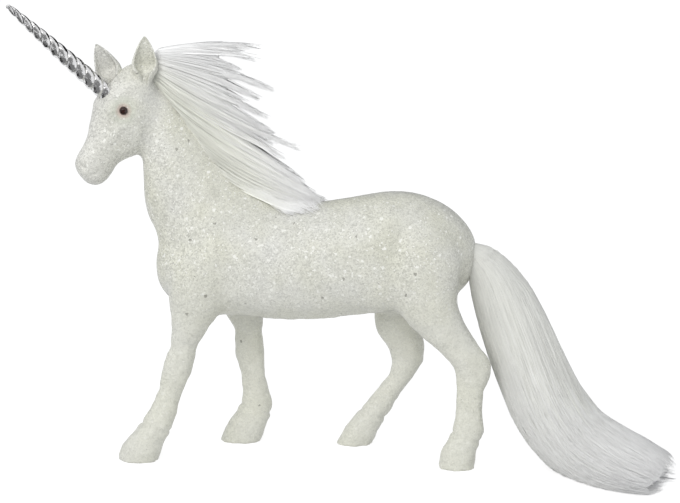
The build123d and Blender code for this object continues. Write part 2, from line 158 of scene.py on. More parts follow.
def skin_arrays(grid, start=0):
    """Points and faces of a skin through rings, each end closed by a fan to its middle."""
    rows, columns = grid.shape[:2]
    points = np.vstack([grid.reshape(-1, 3), grid[0].mean(0), grid[-1].mean(0)])
    ring = np.arange(columns)
    after = (ring + 1) % columns
    last = (rows - 1) * columns
    low = columns_of(rows * columns, after, ring)
    high = columns_of(rows * columns + 1, last + ring, last + after)
    return points, grid_faces(rows, columns, start), np.vstack([low, high]) + start


def joined(name, *grids):
    """One object that holds the skins of several grids, set in the frame."""
    parts, start = [], 0
    for grid in grids:
        parts.append(skin_arrays(grid + origin, start))
        start += len(parts[-1][0])
    return new_piece(name, *(np.vstack(arrays) for arrays in zip(*parts)))


# %% [markdown]
# The barrel is one long skin from chest to buttock. Its rows give the back line and the belly
# line of the side view, so the dip behind the withers and the rise of the croup are drawn directly.

# %% Barrel
body_sides = 72
body_rows = [
    (-0.580, 0.43, 0.425), (-0.577, 0.50, 0.36), (-0.566, 0.64, 0.24), (-0.540, 0.76, 0.14),
    (-0.490, 0.86, 0.06), (-0.410, 0.93, 0.02), (-0.300, 0.96, 0.00), (-0.180, 0.945, -0.02),
    (-0.060, 0.965, -0.01), (0.060, 1.02, 0.03), (0.150, 1.06, 0.06), (0.230, 1.05, 0.10),
    (0.300, 0.99, 0.13), (0.360, 0.89, 0.18), (0.400, 0.77, 0.26), (0.420, 0.66, 0.38),
    (0.425, 0.52, 0.515),
]


def barrel():
    """Upright rings along the body: height from the two lines, width a share of the height."""
    along, top, bottom = smooth_rows(body_rows, 6).T
    x = along * body_length
    high = columns_of(x, belly_height + top * body_depth)
    low = columns_of(x, belly_height + bottom * body_depth)
    half = (top - bottom) / 2 * body_width
    return rings(high, low, half, 0, oval(body_sides, swell=0.10, squareness=2.15))


forms = {"barrel": barrel()}
print("barrel grid", forms["barrel"].shape)

# %% [markdown]
# The neck's rings slant, because a neck leaves the shoulders at a slope. Each row gives the throat
# point and the size of the ring, and the crest follows from the slant.

# %% Neck
neck_length = 84 * MM
neck_depth = 64 * MM
neck_width = 44 * MM
neck_slant = np.radians(40)
neck_rows = [
    (-0.500, -0.524, 1.030, 0.00), (-0.553, -0.405, 0.970, 0.00), (-0.570, -0.310, 0.883, 0.00),
    (-0.579, -0.214, 0.816, 0.00), (-0.600, -0.119, 0.755, 0.00), (-0.612, -0.018, 0.705, 0.00),
    (-0.614, 0.077, 0.640, 0.005), (-0.615, 0.167, 0.562, 0.01), (-0.619, 0.262, 0.492, 0.02),
    (-0.625, 0.369, 0.406, 0.03), (-0.634, 0.476, 0.320, 0.03), (-0.644, 0.560, 0.235, 0.03),
]


def neck_lines(steps):
    """Throat points, crest points, half widths and side places along the neck."""
    along, up, size, lean = smooth_rows(neck_rows, steps).T
    throat = columns_of(along * body_length, belly_height + body_depth + up * neck_length)
    slant = np.array([np.cos(neck_slant), np.sin(neck_slant)])
    crest = throat + slant * (size * neck_depth)[:, None]
    return throat, crest, size * neck_width / 2, -lean * neck_width


throat, crest, neck_half, neck_side = neck_lines(7)
forms["neck"] = rings(crest, throat, neck_half, neck_side, oval(body_sides, swell=0.22))
print("neck grid", forms["neck"].shape)

# %% [markdown]
# The head is drawn in its own frame, straight ahead, and then turned towards the viewer. Its rows
# run from the poll over the brow to the lips, each with a point on the face and one on the jaw.

# %% Head
head_length = 56 * MM
head_width = 23 * MM
head_turn = np.radians(30)
head_rows = [
    (0.00, 0.36, -0.06, 0.34, 0.03), (0.04, 0.42, -0.11, 0.27, 0.22),
    (0.15, 0.40, -0.17, 0.09, 0.38), (0.27, 0.29, -0.16, -0.08, 0.47),
    (0.385, 0.155, -0.10, -0.23, 0.51), (0.455, 0.035, -0.01, -0.34, 0.49),
    (0.49, -0.08, 0.09, -0.39, 0.44), (0.515, -0.19, 0.19, -0.42, 0.37),
    (0.56, -0.28, 0.26, -0.46, 0.335), (0.61, -0.36, 0.305, -0.52, 0.345),
    (0.635, -0.435, 0.36, -0.58, 0.345), (0.615, -0.51, 0.42, -0.61, 0.28),
    (0.575, -0.565, 0.485, -0.61, 0.15), (0.545, -0.592, 0.52, -0.605, 0.03),
]
pivot_share = 0.225
pivot_throat, pivot_crest, _, pivot_side = (line[-2] for line in neck_lines(1))
pivot_x, pivot_z = (1 - pivot_share) * pivot_throat + pivot_share * pivot_crest
pivot = np.array([pivot_x, pivot_side, pivot_z])
head_matrix = turn_matrix("z", head_turn)


def from_head(points):
    """Points of the head's own frame, turned and set on the neck."""
    return pivot + np.asarray(points) @ head_matrix.T


def head():
    """Rings from the poll to the lips in the head's own frame, then turned."""
    face_ahead, face_up, jaw_ahead, jaw_up, half = smooth_rows(head_rows, 7).T
    face = columns_of(-face_ahead, face_up) * head_length
    jaw = columns_of(-jaw_ahead, jaw_up) * head_length
    skull = oval(body_sides, swell=-0.06, squareness=2.1)
    return from_head(rings(face, jaw, half * head_width, 0, skull))


forms["head"] = head()
print("head grid", forms["head"].shape, "pivot", pivot.round(4))

# %% [markdown]
# A leg is a skin through level rings from the sole up into the body. One table serves both fore
# legs and one both hind legs: the stride differs, the joints and hooves are the same.

# %% Legs
leg_sides = 56
track_width = 38 * MM
hoof_length = 21.2 * MM
hoof_width = 17 * MM
fore = {"place": -0.375 * body_length, "height": 125 * MM, "stride": 50 * MM, "rows": [
    (0.000, -0.810, 0.130, 0.97, 1.00), (0.040, -0.785, 0.165, 0.99, 1.00),
    (0.085, -0.730, 0.215, 0.93, 1.00), (0.128, -0.650, 0.275, 0.82, 1.00),
    (0.170, -0.590, 0.298, 0.75, 1.00), (0.215, -0.540, 0.292, 0.65, 0.99),
    (0.260, -0.500, 0.280, 0.60, 0.98), (0.300, -0.465, 0.262, 0.60, 0.97),
    (0.345, -0.422, 0.245, 0.66, 0.96), (0.385, -0.396, 0.230, 0.71, 0.95),
    (0.430, -0.370, 0.228, 0.69, 0.94), (0.470, -0.340, 0.225, 0.67, 0.93),
    (0.510, -0.315, 0.210, 0.79, 0.92), (0.550, -0.280, 0.180, 0.92, 0.90),
    (0.600, -0.240, 0.120, 1.18, 0.85), (0.660, -0.200, 0.040, 1.46, 0.80),
    (0.740, -0.150, -0.040, 1.66, 0.77), (0.830, -0.080, -0.040, 1.60, 0.74),
    (0.910, 0.000, 0.020, 1.24, 0.66), (0.960, 0.060, 0.060, 0.80, 0.58),
    (0.985, 0.080, 0.080, 0.20, 0.55),
]}
hind = {"place": 0.225 * body_length, "height": 130 * MM, "stride": 60 * MM, "rows": [
    (0.000, 0.400, -0.505, 0.86, 0.97), (0.046, 0.410, -0.455, 0.84, 0.97),
    (0.092, 0.445, -0.395, 0.78, 0.97), (0.146, 0.492, -0.312, 0.73, 0.96),
    (0.215, 0.501, -0.212, 0.62, 0.95), (0.275, 0.501, -0.116, 0.61, 0.94),
    (0.315, 0.511, -0.070, 0.66, 0.93), (0.357, 0.526, -0.047, 0.78, 0.92),
    (0.400, 0.518, -0.062, 0.89, 0.91), (0.436, 0.470, -0.094, 0.99, 0.90),
    (0.470, 0.398, -0.122, 1.04, 0.89), (0.520, 0.298, -0.110, 1.24, 0.86),
    (0.580, 0.215, -0.055, 1.46, 0.83), (0.640, 0.160, 0.010, 1.66, 0.79),
    (0.720, 0.120, 0.060, 1.90, 0.70), (0.810, 0.090, 0.070, 1.96, 0.66),
    (0.890, 0.080, 0.075, 1.64, 0.62), (0.945, 0.080, 0.080, 1.00, 0.58),
    (0.975, 0.080, 0.080, 0.25, 0.56),
]}


def leg(limb, left):
    """Level rings up a leg. The sole's ring is kept flat on the ground."""
    up, left_line, right_line, size, out = smooth_rows(limb["rows"], 6).T
    x = limb["place"] + (left_line if left else right_line) * limb["stride"]
    y = (-1 if left else 1) * out * track_width / 2
    z = up * limb["height"]
    reach = size * hoof_length / 2
    ahead, behind = columns_of(x - reach, z), columns_of(x + reach, z)
    return rings(ahead, behind, size * hoof_width / 2, y, oval(leg_sides, squareness=2.1))


for limb_name, limb in (("front", fore), ("hind", hind)):
    for left in (True, False):
        forms[limb_name + ("_left" if left else "_right") + "_leg"] = leg(limb, left)
print("forms:", ", ".join(forms))

# %% [markdown]
# On the real ornament one coat covers the barrel, neck, head and legs, so no joint shows. The
# forms are joined by a voxel remesh, which keeps only the outer surface of all of them. That leaves
# a sharp crease where two forms meet. The crease is found where the surface is hollow, spread a
# little, and smoothed there alone, so the rest keeps its shape.

# %% One coat over all forms
voxel_size = 0.9 * MM
full_sag = 0.06 * voxel_size
mask_growth = 1.25
pass_share = 0.6


def apply_modifiers(piece):
    """The mesh with its modifiers worked in, so that the object carries none."""
    graph = bpy.context.evaluated_depsgraph_get()
    mesh = bpy.data.meshes.new_from_object(piece.evaluated_get(graph))
    old = piece.data
    piece.modifiers.clear()
    piece.data = mesh
    bpy.data.meshes.remove(old)
    mesh.name = piece.name


def read(mesh, attribute):
    """Places (co) or normals of all vertices of a mesh."""
    values = np.zeros(len(mesh.vertices) * 3, np.float32)
    mesh.vertices.foreach_get(attribute, values)
    return values.reshape(-1, 3).astype(float)


def neighbour_mean(values, edges, degree):
    """Mean of each vertex's neighbours, as a sum over the edges both ways."""
    total = np.zeros_like(values)
    for a, b in ((0, 1), (1, 0)):
        for column in range(values.shape[1]):
            total[:, column] += np.bincount(edges[:, a], values[edges[:, b], column], len(values))
    return total / degree[:, None]


def move_points(mesh, points):
    """Gives all vertices of a mesh their new places."""
    mesh.vertices.foreach_set("co", points.astype(np.float32).ravel())
    mesh.update()


def soften_creases(piece, spread, passes):
    """Smooths a mesh where it is hollow: the hollow mask is spread, then weighs each pass."""
    mesh = piece.data
    edges = np.zeros(len(mesh.edges) * 2, np.int32)
    mesh.edges.foreach_get("vertices", edges)
    edges = edges.reshape(-1, 2)
    points, normals = read(mesh, "co"), read(mesh, "normal")
    degree = np.bincount(edges.ravel(), minlength=len(points)).astype(float)
    sag = np.sum((neighbour_mean(points, edges, degree) - points) * normals, 1, keepdims=True)
    mask = np.clip(sag / full_sag, 0, 1)
    for _ in range(spread):
        mask = np.clip(mask_growth * neighbour_mean(mask, edges, degree), 0, 1)
    for _ in range(passes):
        points += pass_share * mask * (neighbour_mean(points, edges, degree) - points)
    move_points(mesh, points)


coat = joined("glitter_coat", *forms.values())
remesh = coat.modifiers.new("one skin", "REMESH")
remesh.mode = "VOXEL"
remesh.voxel_size = voxel_size
apply_modifiers(coat)
soften_creases(coat, spread=9, passes=70)
coat.data.shade_smooth()
print("coat:", len(coat.data.vertices), "points")

# %% [markdown]
# The carver's thumb comes next. Each press moves the skin in or out along its own normals, and
# fades as a bell curve, so brows, nostrils, muscles and joints are soft dents and swellings in
# real geometry. A groove is the same along a path. A low random swell leaves the lumps that the
# thick coat has on the legs.

# %% Tools for pressing the coat
groove_reach = 60 * MM


def press(points, normals, centre, radii, push, turned):
    """Push along the normals, times exp(-distance squared), with distance counted in the radii."""
    away = ((points - centre) @ turned) / radii
    return np.exp(-np.sum(away**2, 1))[:, None] * push * normals


def groove(points, normals, path, width, push):
    """Push along the normals near a path: exp(-(distance to its nearest point / width) squared)."""
    spots = smooth_rows(path, 8)
    near = np.linalg.norm(points - spots.mean(0), axis=1) < groove_reach
    away = np.linalg.norm(points[near, None] - spots[None], axis=2).min(1)
    moved = np.zeros_like(points)
    moved[near] = np.exp(-(away / width) ** 2)[:, None] * push * normals[near]
    return moved


def swells(points, size, seed, waves=24):
    """Random smooth field of about unit height: a sum of sine waves in random directions."""
    rng = np.random.default_rng(seed)
    direction = rng.normal(size=(3, waves))
    length = size * np.linalg.norm(direction, axis=0) * rng.uniform(0.7, 1.5, waves)
    phase = rng.uniform(0, 2 * np.pi, waves)
    return np.sin(points @ (direction * 2 * np.pi / length) + phase).sum(1) / np.sqrt(waves / 2)


def head_spot(ahead, side, up):
    """Point given in head lengths ahead and up, and half head widths to the side."""
    return from_head([-ahead * head_length, side * head_width / 2, up * head_length])


def body_spot(x, y, z):
    """Point given in millimetres."""
    return np.array([x, y, z]) * MM


# %% Presses on the head, body and legs
head_presses = [
    ("brow", 0.360, 0.72, 0.075, 5.4, 4.2, 5.0, 2.7),
    ("eye socket", 0.265, 1.00, 0.035, 4.6, 3.0, 3.6, -0.75),
    ("lower lid", 0.250, 0.97, -0.020, 3.6, 2.5, 1.6, 0.50),
    ("cheek", 0.100, 0.90, -0.120, 9.5, 5.0, 9.5, 1.1),
    ("hollow of the face", 0.430, 0.75, -0.100, 6.0, 3.5, 5.5, -0.8),
    ("nostril flare", 0.585, 0.62, -0.420, 3.6, 2.6, 3.8, 1.0),
    ("nostril", 0.605, 0.56, -0.445, 1.7, 1.6, 2.1, -2.0),
    ("chin", 0.470, 0.00, -0.590, 4.0, 5.0, 3.0, 0.6),
    ("ear base", 0.060, 0.50, 0.230, 6.5, 5.0, 6.0, 1.2),
    ("temple", 0.160, 0.85, 0.180, 4.0, 3.0, 4.0, -0.7),
]
body_presses = [
    ("shoulder blade", -60, 23, 120, 13, 8, 19, 1.2),
    ("point of the shoulder", -81, 14, 100, 9, 8, 9, 0.9),
    ("dip ahead of the shoulder", -82, 15, 122, 6, 8, 9, -1.1),
    ("elbow", -47, 20, 87, 7, 6, 6, 1.3),
    ("behind the elbow", -36, 22, 92, 5, 9, 10, -1.2),
    ("flank", 27, 25, 108, 10, 9, 14, -1.7),
    ("stifle", 21, 20, 84, 9, 7, 9, 1.3),
    ("point of the hip", 27, 16, 127, 8, 7, 6, 0.9),
    ("back of the thigh", 64, 15, 87, 9, 12, 14, -4.2),
    ("front of the forearm", -84, 14, 78, 8, 10, 17, -1.7),
    ("breast", -90, 0, 108, 7, 5, 9, -0.8),
]
head_grooves = [
    ("mouth", [(0.63, 0.0, -0.575), (0.61, 0.35, -0.565), (0.56, 0.60, -0.535),
               (0.50, 0.72, -0.505), (0.455, 0.74, -0.475)], 1.0, -0.65),
    ("ridge of the cheek", [(0.27, 0.92, -0.10), (0.36, 0.84, -0.19), (0.44, 0.70, -0.27)],
     2.2, 0.6),
    ("edge of the jaw", [(-0.05, 0.62, 0.00), (-0.02, 0.68, -0.14), (0.08, 0.72, -0.25),
                         (0.22, 0.70, -0.33)], 1.9, 0.5),
]
body_grooves = [
    ("front of the thigh", [(33, 24, 122), (27, 24, 106), (20, 20, 90), (14, 15, 80)], 4.0, -0.9),
    ("back of the leg's muscle", [(50, 18, 104), (50, 17, 88), (53, 16, 74)], 3.0, -0.7),
    ("arm", [(-62, 21, 108), (-67, 22, 96), (-70, 21, 84)], 3.5, -0.6),
    ("groove of the neck", [(-92, 9, 168), (-88, 14, 148), (-84, 17, 130)], 4.5, -0.9),
]


def leg_middle(limb, left, share):
    """Middle of a leg's ring at a share of its height, before the model is set in the frame."""
    rows = np.array(limb["rows"])
    line = np.interp(share, rows[:, 0], rows[:, 1 if left else 2])
    out = np.interp(share, rows[:, 0], rows[:, 4]) * (-1 if left else 1)
    x = limb["place"] + line * limb["stride"]
    return np.array([x, out * track_width / 2, share * limb["height"]])


def carve(points, normals):
    """All presses and grooves, on both sides."""
    moved = np.zeros_like(points)
    for presses, grooves, spot, turned in ((head_presses, head_grooves, head_spot, head_matrix),
                                           (body_presses, body_grooves, body_spot, np.eye(3))):
        for side in (-1, 1):
            for _, x, out, z, *radii, push in presses:
                centre, radii = origin + spot(x, side * out, z), np.array(radii) * MM
                moved += press(points, normals, centre, radii, push * MM, turned)
            for _, path, width, push in grooves:
                path = [origin + spot(x, side * out, z) for x, out, z in path]
                moved += groove(points, normals, path, width * MM, push * MM)
    return moved


hoof_reach = 22 * MM
hoof_slope = 0.32
hoof_lines = [(0.0, 1.1, -0.55), (-2.6, 1.6, 0.35)]


def carve_hooves(points, normals):
    """A narrow line round each hoof's top edge, lower at the heel, and a soft rim under it."""
    moved = np.zeros_like(points)
    for limb, share in ((fore, 0.140), (hind, 0.125)):
        for left in (True, False):
            middle = origin + leg_middle(limb, left, share)
            near = np.linalg.norm(points[:, :2] - middle[:2], axis=1) < hoof_reach
            level = points[:, 2] - middle[2] - hoof_slope * (middle[0] - points[:, 0])
            for height, width, push in hoof_lines:
                bell = np.exp(-((level - height * MM) / (width * MM)) ** 2)
                moved += (near * push * MM * bell)[:, None] * normals
    return moved


large_lump, small_lump, small_share = 11 * MM, 5 * MM, 0.7
body_lumps, more_on_legs = 0.03, 0.10
legs_end, body_begins = 60 * MM, 95 * MM

mesh = coat.data
points, normals = read(mesh, "co"), read(mesh, "normal")
points += carve(points, normals) + carve_hooves(points, normals)
leg_share = 1 - smooth_step(points[:, 2], legs_end, body_begins)
lumps = swells(points, large_lump, seed=3) + small_share * swells(points, small_lump, seed=4)
points += ((body_lumps + more_on_legs * leg_share) * MM * lumps)[:, None] * normals
points[:, 2] = np.maximum(points[:, 2], 0)
move_points(mesh, points)
print("coat carved, lumps up to", round(float(np.abs(lumps).max()), 2))

# %% [markdown]
# An ear is a thin cupped leaf: wide below, pointed above, with a rolled rim. Its section is a C:
# an outer arc, a thin wall, and an inner arc. The arc closes at the root and opens towards the
# tip. It is drawn upright, then leaned and turned onto the head like a real one.

# %% Ears
ear_height = 22 * MM
ear_width = 13.5 * MM
ear_thickness = 7 * MM
ear_wall = 1.15 * MM
ear_rows = [
    (-0.30, 0.26, 178), (-0.08, 0.44, 176), (0.10, 0.70, 170), (0.24, 0.94, 152),
    (0.40, 0.96, 124), (0.58, 0.79, 106), (0.74, 0.59, 97), (0.87, 0.37, 90),
    (0.95, 0.20, 84), (1.00, 0.06, 80),
]
ear_places = {
    "left_ear": ((-0.03, -0.143, 0.29), (4, -1, 68)),
    "right_ear": ((-0.218, 0.107, 0.25), (0, -25, 55)),
}
outer_count, inner_count = 25, 21
rim_share = 0.12
cup_share, back_share, tip_back_share = 0.62, 0.12, 0.05


def ear(place, angles):
    """Rows of C-shaped rings: out along the outer arc, round the rim, back along the inner one."""
    up, size, opening = smooth_rows(ear_rows, 5).T[:, :, None]
    arc = np.concatenate([np.linspace(-1, 1, outer_count), np.linspace(1, -1, inner_count)])
    inside = np.repeat([0, 1], [outer_count, inner_count])
    rim = np.exp(-((1 - np.abs(arc)) / rim_share) ** 2)
    turn = np.radians(opening) * arc
    depth = size * ear_thickness
    filled = (1 - smooth_step(up, 0.10, 0.45)) * 0.5 * depth
    wall = np.maximum(np.minimum(ear_wall, 0.3 * depth), filled) * (1 - 0.25 * rim)
    x = (cup_share * depth - wall * inside) * np.cos(turn)
    x = x - back_share * depth - tip_back_share * ear_height * up**2
    bend = np.abs(np.sin(turn))
    bend = np.where(np.abs(turn) < np.pi / 2, bend, 0.35 + 0.65 * bend)
    y = (size * ear_width / 2 - wall * inside) * np.sign(turn) * bend
    matrix = np.eye(3)
    for axis, angle in zip("xyz", angles):
        matrix = matrix @ turn_matrix(axis, np.radians(angle))
    grid = columns_of(x, y, up * ear_height)
    return from_head(grid @ matrix.T + np.array(place) * head_length)


ears = {name: joined(name + "_leaf", ear(*row)) for name, row in ear_places.items()}
print("ears:", ", ".join(ears))

# %% [markdown]
# The horn is two plated strands laid round each other like a rope. Each strand is a tube carried
# along a helix, with its ring square to the path, so neighbouring turns meet in a sharp valley.
# The tubes taper together and close in a blunt tip.

# %% Horn
horn_length = 69 * MM
horn_base = 9.0 * MM
horn_tip = 2.6 * MM
horn_lead = 11.7 * MM
horn_sunk = 1.5 * MM
horn_rounding = 1.5 * MM
past_tip = 1.002
strand_deep, strand_wide = 0.50, 0.68
horn_rise = np.radians(42.6)
horn_matrix = turn_matrix("y", horn_rise - np.pi / 2)
horn_seat = np.array([-0.334, 0, 0.17]) * head_length


def horn_strand(phase, along=300, sides=28):
    """Rings square to a helix. Helix radius and strand radius both follow the horn's taper."""
    z = np.linspace(0, horn_length, along)
    radius = (horn_base + (horn_tip - horn_base) * (z / horn_length) ** 2) / 2
    radius *= dome(smooth_step(z, horn_length - horn_rounding, horn_length * past_tip))
    turn = 2 * np.pi * z / horn_lead + phase
    out = columns_of(np.cos(turn), np.sin(turn), 0)
    path = out * (strand_deep * radius)[:, None] + columns_of(0, 0, z - horn_sunk)
    across = np.cross(to_unit(np.gradient(path, axis=0)), out)
    ring = round_angles(sides)[:, None]
    deep = strand_deep * np.cos(ring) * out[:, None]
    wide = strand_wide * np.sin(ring) * across[:, None]
    return path[:, None] + radius[:, None, None] * (deep + wide)


horn = joined("twisted_horn", *(from_head(horn_strand(phase) @ horn_matrix.T + horn_seat)
                                for phase in (0, np.pi)))
print("horn:", len(horn.data.vertices), "points, lead", horn_lead / MM, "mm")

# %% [markdown]
# An eye is a glass bead on a pin, pressed half into the head. Only its dome shows, but the whole
# ball is made, because the coat is pressed in a little round it.

# %% Eyes
bead_diameter = 4.2 * MM
eye_ahead, eye_out, eye_up = 0.255, 0.96, 0.042


def ball(centre, radius, rows=33, columns=48):
    """Grid of a sphere: rings of latitude, from pole to pole."""
    latitude = np.linspace(-np.pi / 2, np.pi / 2, rows)[1:-1, None]
    longitude, level = round_angles(columns), np.cos(latitude)
    unit = columns_of(level * np.cos(longitude), level * np.sin(longitude), np.sin(latitude))
    return centre + radius * unit


beads = {}
for name, side in (("left_eye_bead", -1), ("right_eye_bead", 1)):
    grid = ball(head_spot(eye_ahead, side * eye_out, eye_up), bead_diameter / 2)
    beads[name] = joined(name + "_ball", grid)
print("eye beads:", bead_diameter / MM, "mm across")

# %% [markdown]
# Mane and tail are loose fibre, so they are made of strands: thin tapering tubes with three sides
# each, thousands in one mesh. The paths of all strands are one array of shape (strand, point, 3).

# %% Strand mesh
def store(piece, **values):
    """Saves one number per point of a piece under each name. For hair these are the place along
    the strand, the strand's shade, and how much it lies against the warm coat."""
    for title, numbers in values.items():
        made = piece.data.attributes.new(title, "FLOAT", "POINT")
        made.data.foreach_set("value", np.ravel(numbers).astype(np.float32))


odd_way = np.array([0.12, 1.0, 0.2])  # no strand runs this way, so it gives each a side
sheet_share = 0.70


def strands(name, paths, outward, radius, taper, shade, lies):
    """Tubes with three sides round every path. Radius falls to its taper share at the tip.

    Silk shines as one sheet, so each point's normal leans towards the outward side of the sheet.
    """
    count, steps = paths.shape[:2]
    run = to_unit(np.gradient(paths, axis=1))
    side = to_unit(np.cross(run, odd_way))
    other = np.cross(run, side)
    t = np.linspace(0, 1, steps)[None]
    size = radius[:, None] * (1 - (1 - taper) * t**2.2) * np.minimum(1, 0.35 + 6 * t)
    turn = round_angles(3)[:, None]
    ring = side[:, :, None] * np.cos(turn) + other[:, :, None] * np.sin(turn)
    points = paths[:, :, None] + size[:, :, None, None] * ring
    tips = paths[:, -1] + run[:, -1] * radius[:, None] * 2

    corner = np.arange(3)
    first = 3 * steps * np.arange(count)[:, None]
    last = first + 3 * (steps - 1)
    tip = 3 * steps * count + np.arange(count)[:, None]
    quads = (first[:, None] + grid_faces(steps, 3)).reshape(-1, 4)
    ends = columns_of(last + corner, last + (corner + 1) % 3, tip).reshape(-1, 3)
    starts = first + np.array([0, 2, 1])
    piece = new_piece(name, np.vstack([points.reshape(-1, 3), tips]), quads,
                      np.vstack([ends, starts]))

    normals = (sheet_share * outward[:, :, None] + ring).reshape(-1, 3)
    normals = to_unit(np.vstack([normals, outward[:, -1]]))
    piece.data.normals_split_custom_set_from_vertices(normals)
    shape = (count, steps, 3)
    store(piece, along=np.append(np.broadcast_to(t[..., None], shape), np.ones(count)),
          shade=np.append(np.broadcast_to(shade[:, None, None], shape), shade),
          lies=np.append(np.broadcast_to(lies[:, None, None], shape), lies))
    return piece


def blend_rows(table, place):
    """Rows of a table at places that may lie between two of them."""
    low = np.clip(place.astype(int), 0, len(table) - 2)
    share = (place - low)[..., None]
    return table[low] * (1 - share) + table[low + 1] * share


def cubic(start, start_run, end, end_run, t):
    """Hermite curve from start to end with the given directions at both ends."""
    a, b = 2 * t**3 - 3 * t**2 + 1, t**3 - 2 * t**2 + t
    c, d = -2 * t**3 + 3 * t**2, t**3 - t**2
    return a * start + b * start_run + c * end + d * end_run


# %% [markdown]
# The mane lies on the side of the neck like a sheet and leaves the crest in locks. Each guide has
# its start, its end and its directions in the side view, in millimetres and degrees, and a strand
# is a blend of two neighbouring guides. How far out it lies comes from the coat itself: a height
# map of the finished coat keeps it just outside the skin. A thin bag under the strands closes the
# sheet.

# %% Mane
mane_guides = [
    (-88.9, 205.9, 11, -38.1, 206.4, -12), (-89.9, 204.9, 8, -39.7, 200.6, -16),
    (-89.9, 203.4, 2, -43.2, 193.1, -24), (-90.0, 202.2, -8, -32.4, 185.3, -24),
    (-90.0, 199.9, -13, -36.9, 179.8, -24), (-90.0, 198.0, -20, -33.9, 170.9, -26),
    (-90.0, 196.0, -28, -27.5, 161.5, -28), (-90.0, 194.0, -34, -18.1, 156.1, -18),
    (-89.6, 191.1, -38, -23.6, 149.0, -34), (-88.3, 188.0, -40, -19.2, 141.0, -36),
    (-86.2, 184.0, -42, -13.7, 134.6, -34), (-83.7, 179.7, -43, -8.7, 131.1, -28),
    (-78.6, 174.0, -43, -7.2, 129.6, -22), (-73.7, 166.5, -43, -8.7, 128.6, -16),
    (-66.1, 155.4, -40, -10.7, 127.6, -12), (-56.1, 142.8, -31, -14.7, 127.1, -8),
    (-46.2, 135.9, -20, -19.7, 127.0, -5), (-37.4, 131.9, -14, -24.7, 127.5, -5),
]
last_guide = len(mane_guides) - 1
poll_root = np.array([-93.5, 190.0]) * MM
rise_share = 0.12
buried_share = 0.12
mane_half = 8.5 * MM
ridge_guides = 4
map_cell = 2 * MM
map_low = np.array([-130, 60]) * MM
map_size = (70, 90)


def side_map(side):
    """Half width of the coat on one side, over a grid of the side view, spread over its edge."""
    points = read(coat.data, "co") - origin
    cells = ((points[:, [0, 2]] - map_low) / map_cell).astype(int)
    inside = np.all((cells >= 0) & (cells < map_size), 1)
    heights = np.zeros(map_size)
    np.maximum.at(heights, tuple(cells[inside].T), side * points[inside, 1])
    for _ in range(3):
        spread = np.pad(heights, 1, mode="edge")
        around = (spread[:-2, 1:-1] + spread[2:, 1:-1] + spread[1:-1, :-2] + spread[1:-1, 2:]) / 4
        heights = np.maximum(heights, 0.5 * heights + 0.5 * around)
    return heights


def sample(heights, x, z):
    """Height map at any place, by blending the four cells around it."""
    u = np.clip((x - map_low[0]) / map_cell - 0.5, 0, map_size[0] - 1.001)
    v = np.clip((z - map_low[1]) / map_cell - 0.5, 0, map_size[1] - 1.001)
    i, j = u.astype(int), v.astype(int)
    a, b = u - i, v - j
    low = heights[i, j] * (1 - a) + heights[i + 1, j] * a
    high = heights[i, j + 1] * (1 - a) + heights[i + 1, j + 1] * a
    return low * (1 - b) + high * b


def mane_flow(place, t):
    """Side-view points of the hair: guides blended by place, a short rise from the root up to the
    guide's start, then a Hermite curve to its end. Up at the poll all roots are one point."""
    row = blend_rows(np.array(mane_guides), place)
    start, end = row[..., 0:2] * MM, row[..., 3:5] * MM
    span = np.linalg.norm(end - start, axis=-1, keepdims=True)
    run, end_run = (span * columns_of(np.cos(angle), np.sin(angle))
                    for angle in np.radians([row[..., 2], row[..., 5]]))
    low_down = smooth_step(place, 6.5, 9.0)[..., None]
    root = poll_root * (1 - low_down) + (start - buried_share * run) * low_down
    corner = columns_of(root[..., 0], start[..., 1])
    corner = corner * (1 - low_down) + (root + start) / 2 * low_down
    t = t[..., None]
    rise = np.clip(t / rise_share, 0, 1)
    first = (1 - rise) ** 2 * root + 2 * rise * (1 - rise) * corner + rise**2 * start
    rest = np.clip((t - rise_share) / (1 - rise_share), 0, None)
    return np.where(t < rise_share, first, cubic(start, run, end, end_run, rest))


def mane_place(flat, t, side, layer, lift):
    """Hair points in space: over the coat they lie just outside it, and past it they close in."""
    x, z = flat[..., 0], flat[..., 1]
    free = layer * mane_half * (1 - 0.88 * smooth_step(t, 0.22, 0.95)) * smooth_step(t, -0.12, 0.22)
    skin = sample(side_maps[side], x, z)
    over = smooth_step(skin, 0.5 * MM, 4 * MM)
    return columns_of(x, side * np.maximum((skin + lift) * over, free), z)


def crest(place):
    """Share of the full width: the mane is a rounded ridge, so its topmost hair lies inwards."""
    return 0.15 + 0.85 * np.sqrt(np.clip(place / ridge_guides, 0, 1))


free_locks = [
    (0, 1), (1, 0.97), (2, 0.88), (3, 1), (4, 0.96), (5, 0.98), (6, 0.93), (7, 1), (8, 0.95),
    (0.5, 0.86), (4.55, 0.84), (6.4, 0.90), (7.5, 0.86),
]
low_locks = 22
mane_steps, mane_taper = 13, 0.35
mane_radii = (0.12, 0.18)
# the mane's fibre is lighter than the tail's: partly its own tone, partly a painted lift against
# the shade that falls between its strands
mane_shade_with_painted_lift, mane_shade_spread = 0.80, 0.10
mane_painted_highlight_share, painted_highlight_wider = 0.010, 1.9
bag_root, bag_tip, bag_least = 0.12, 0.30, 0.0004


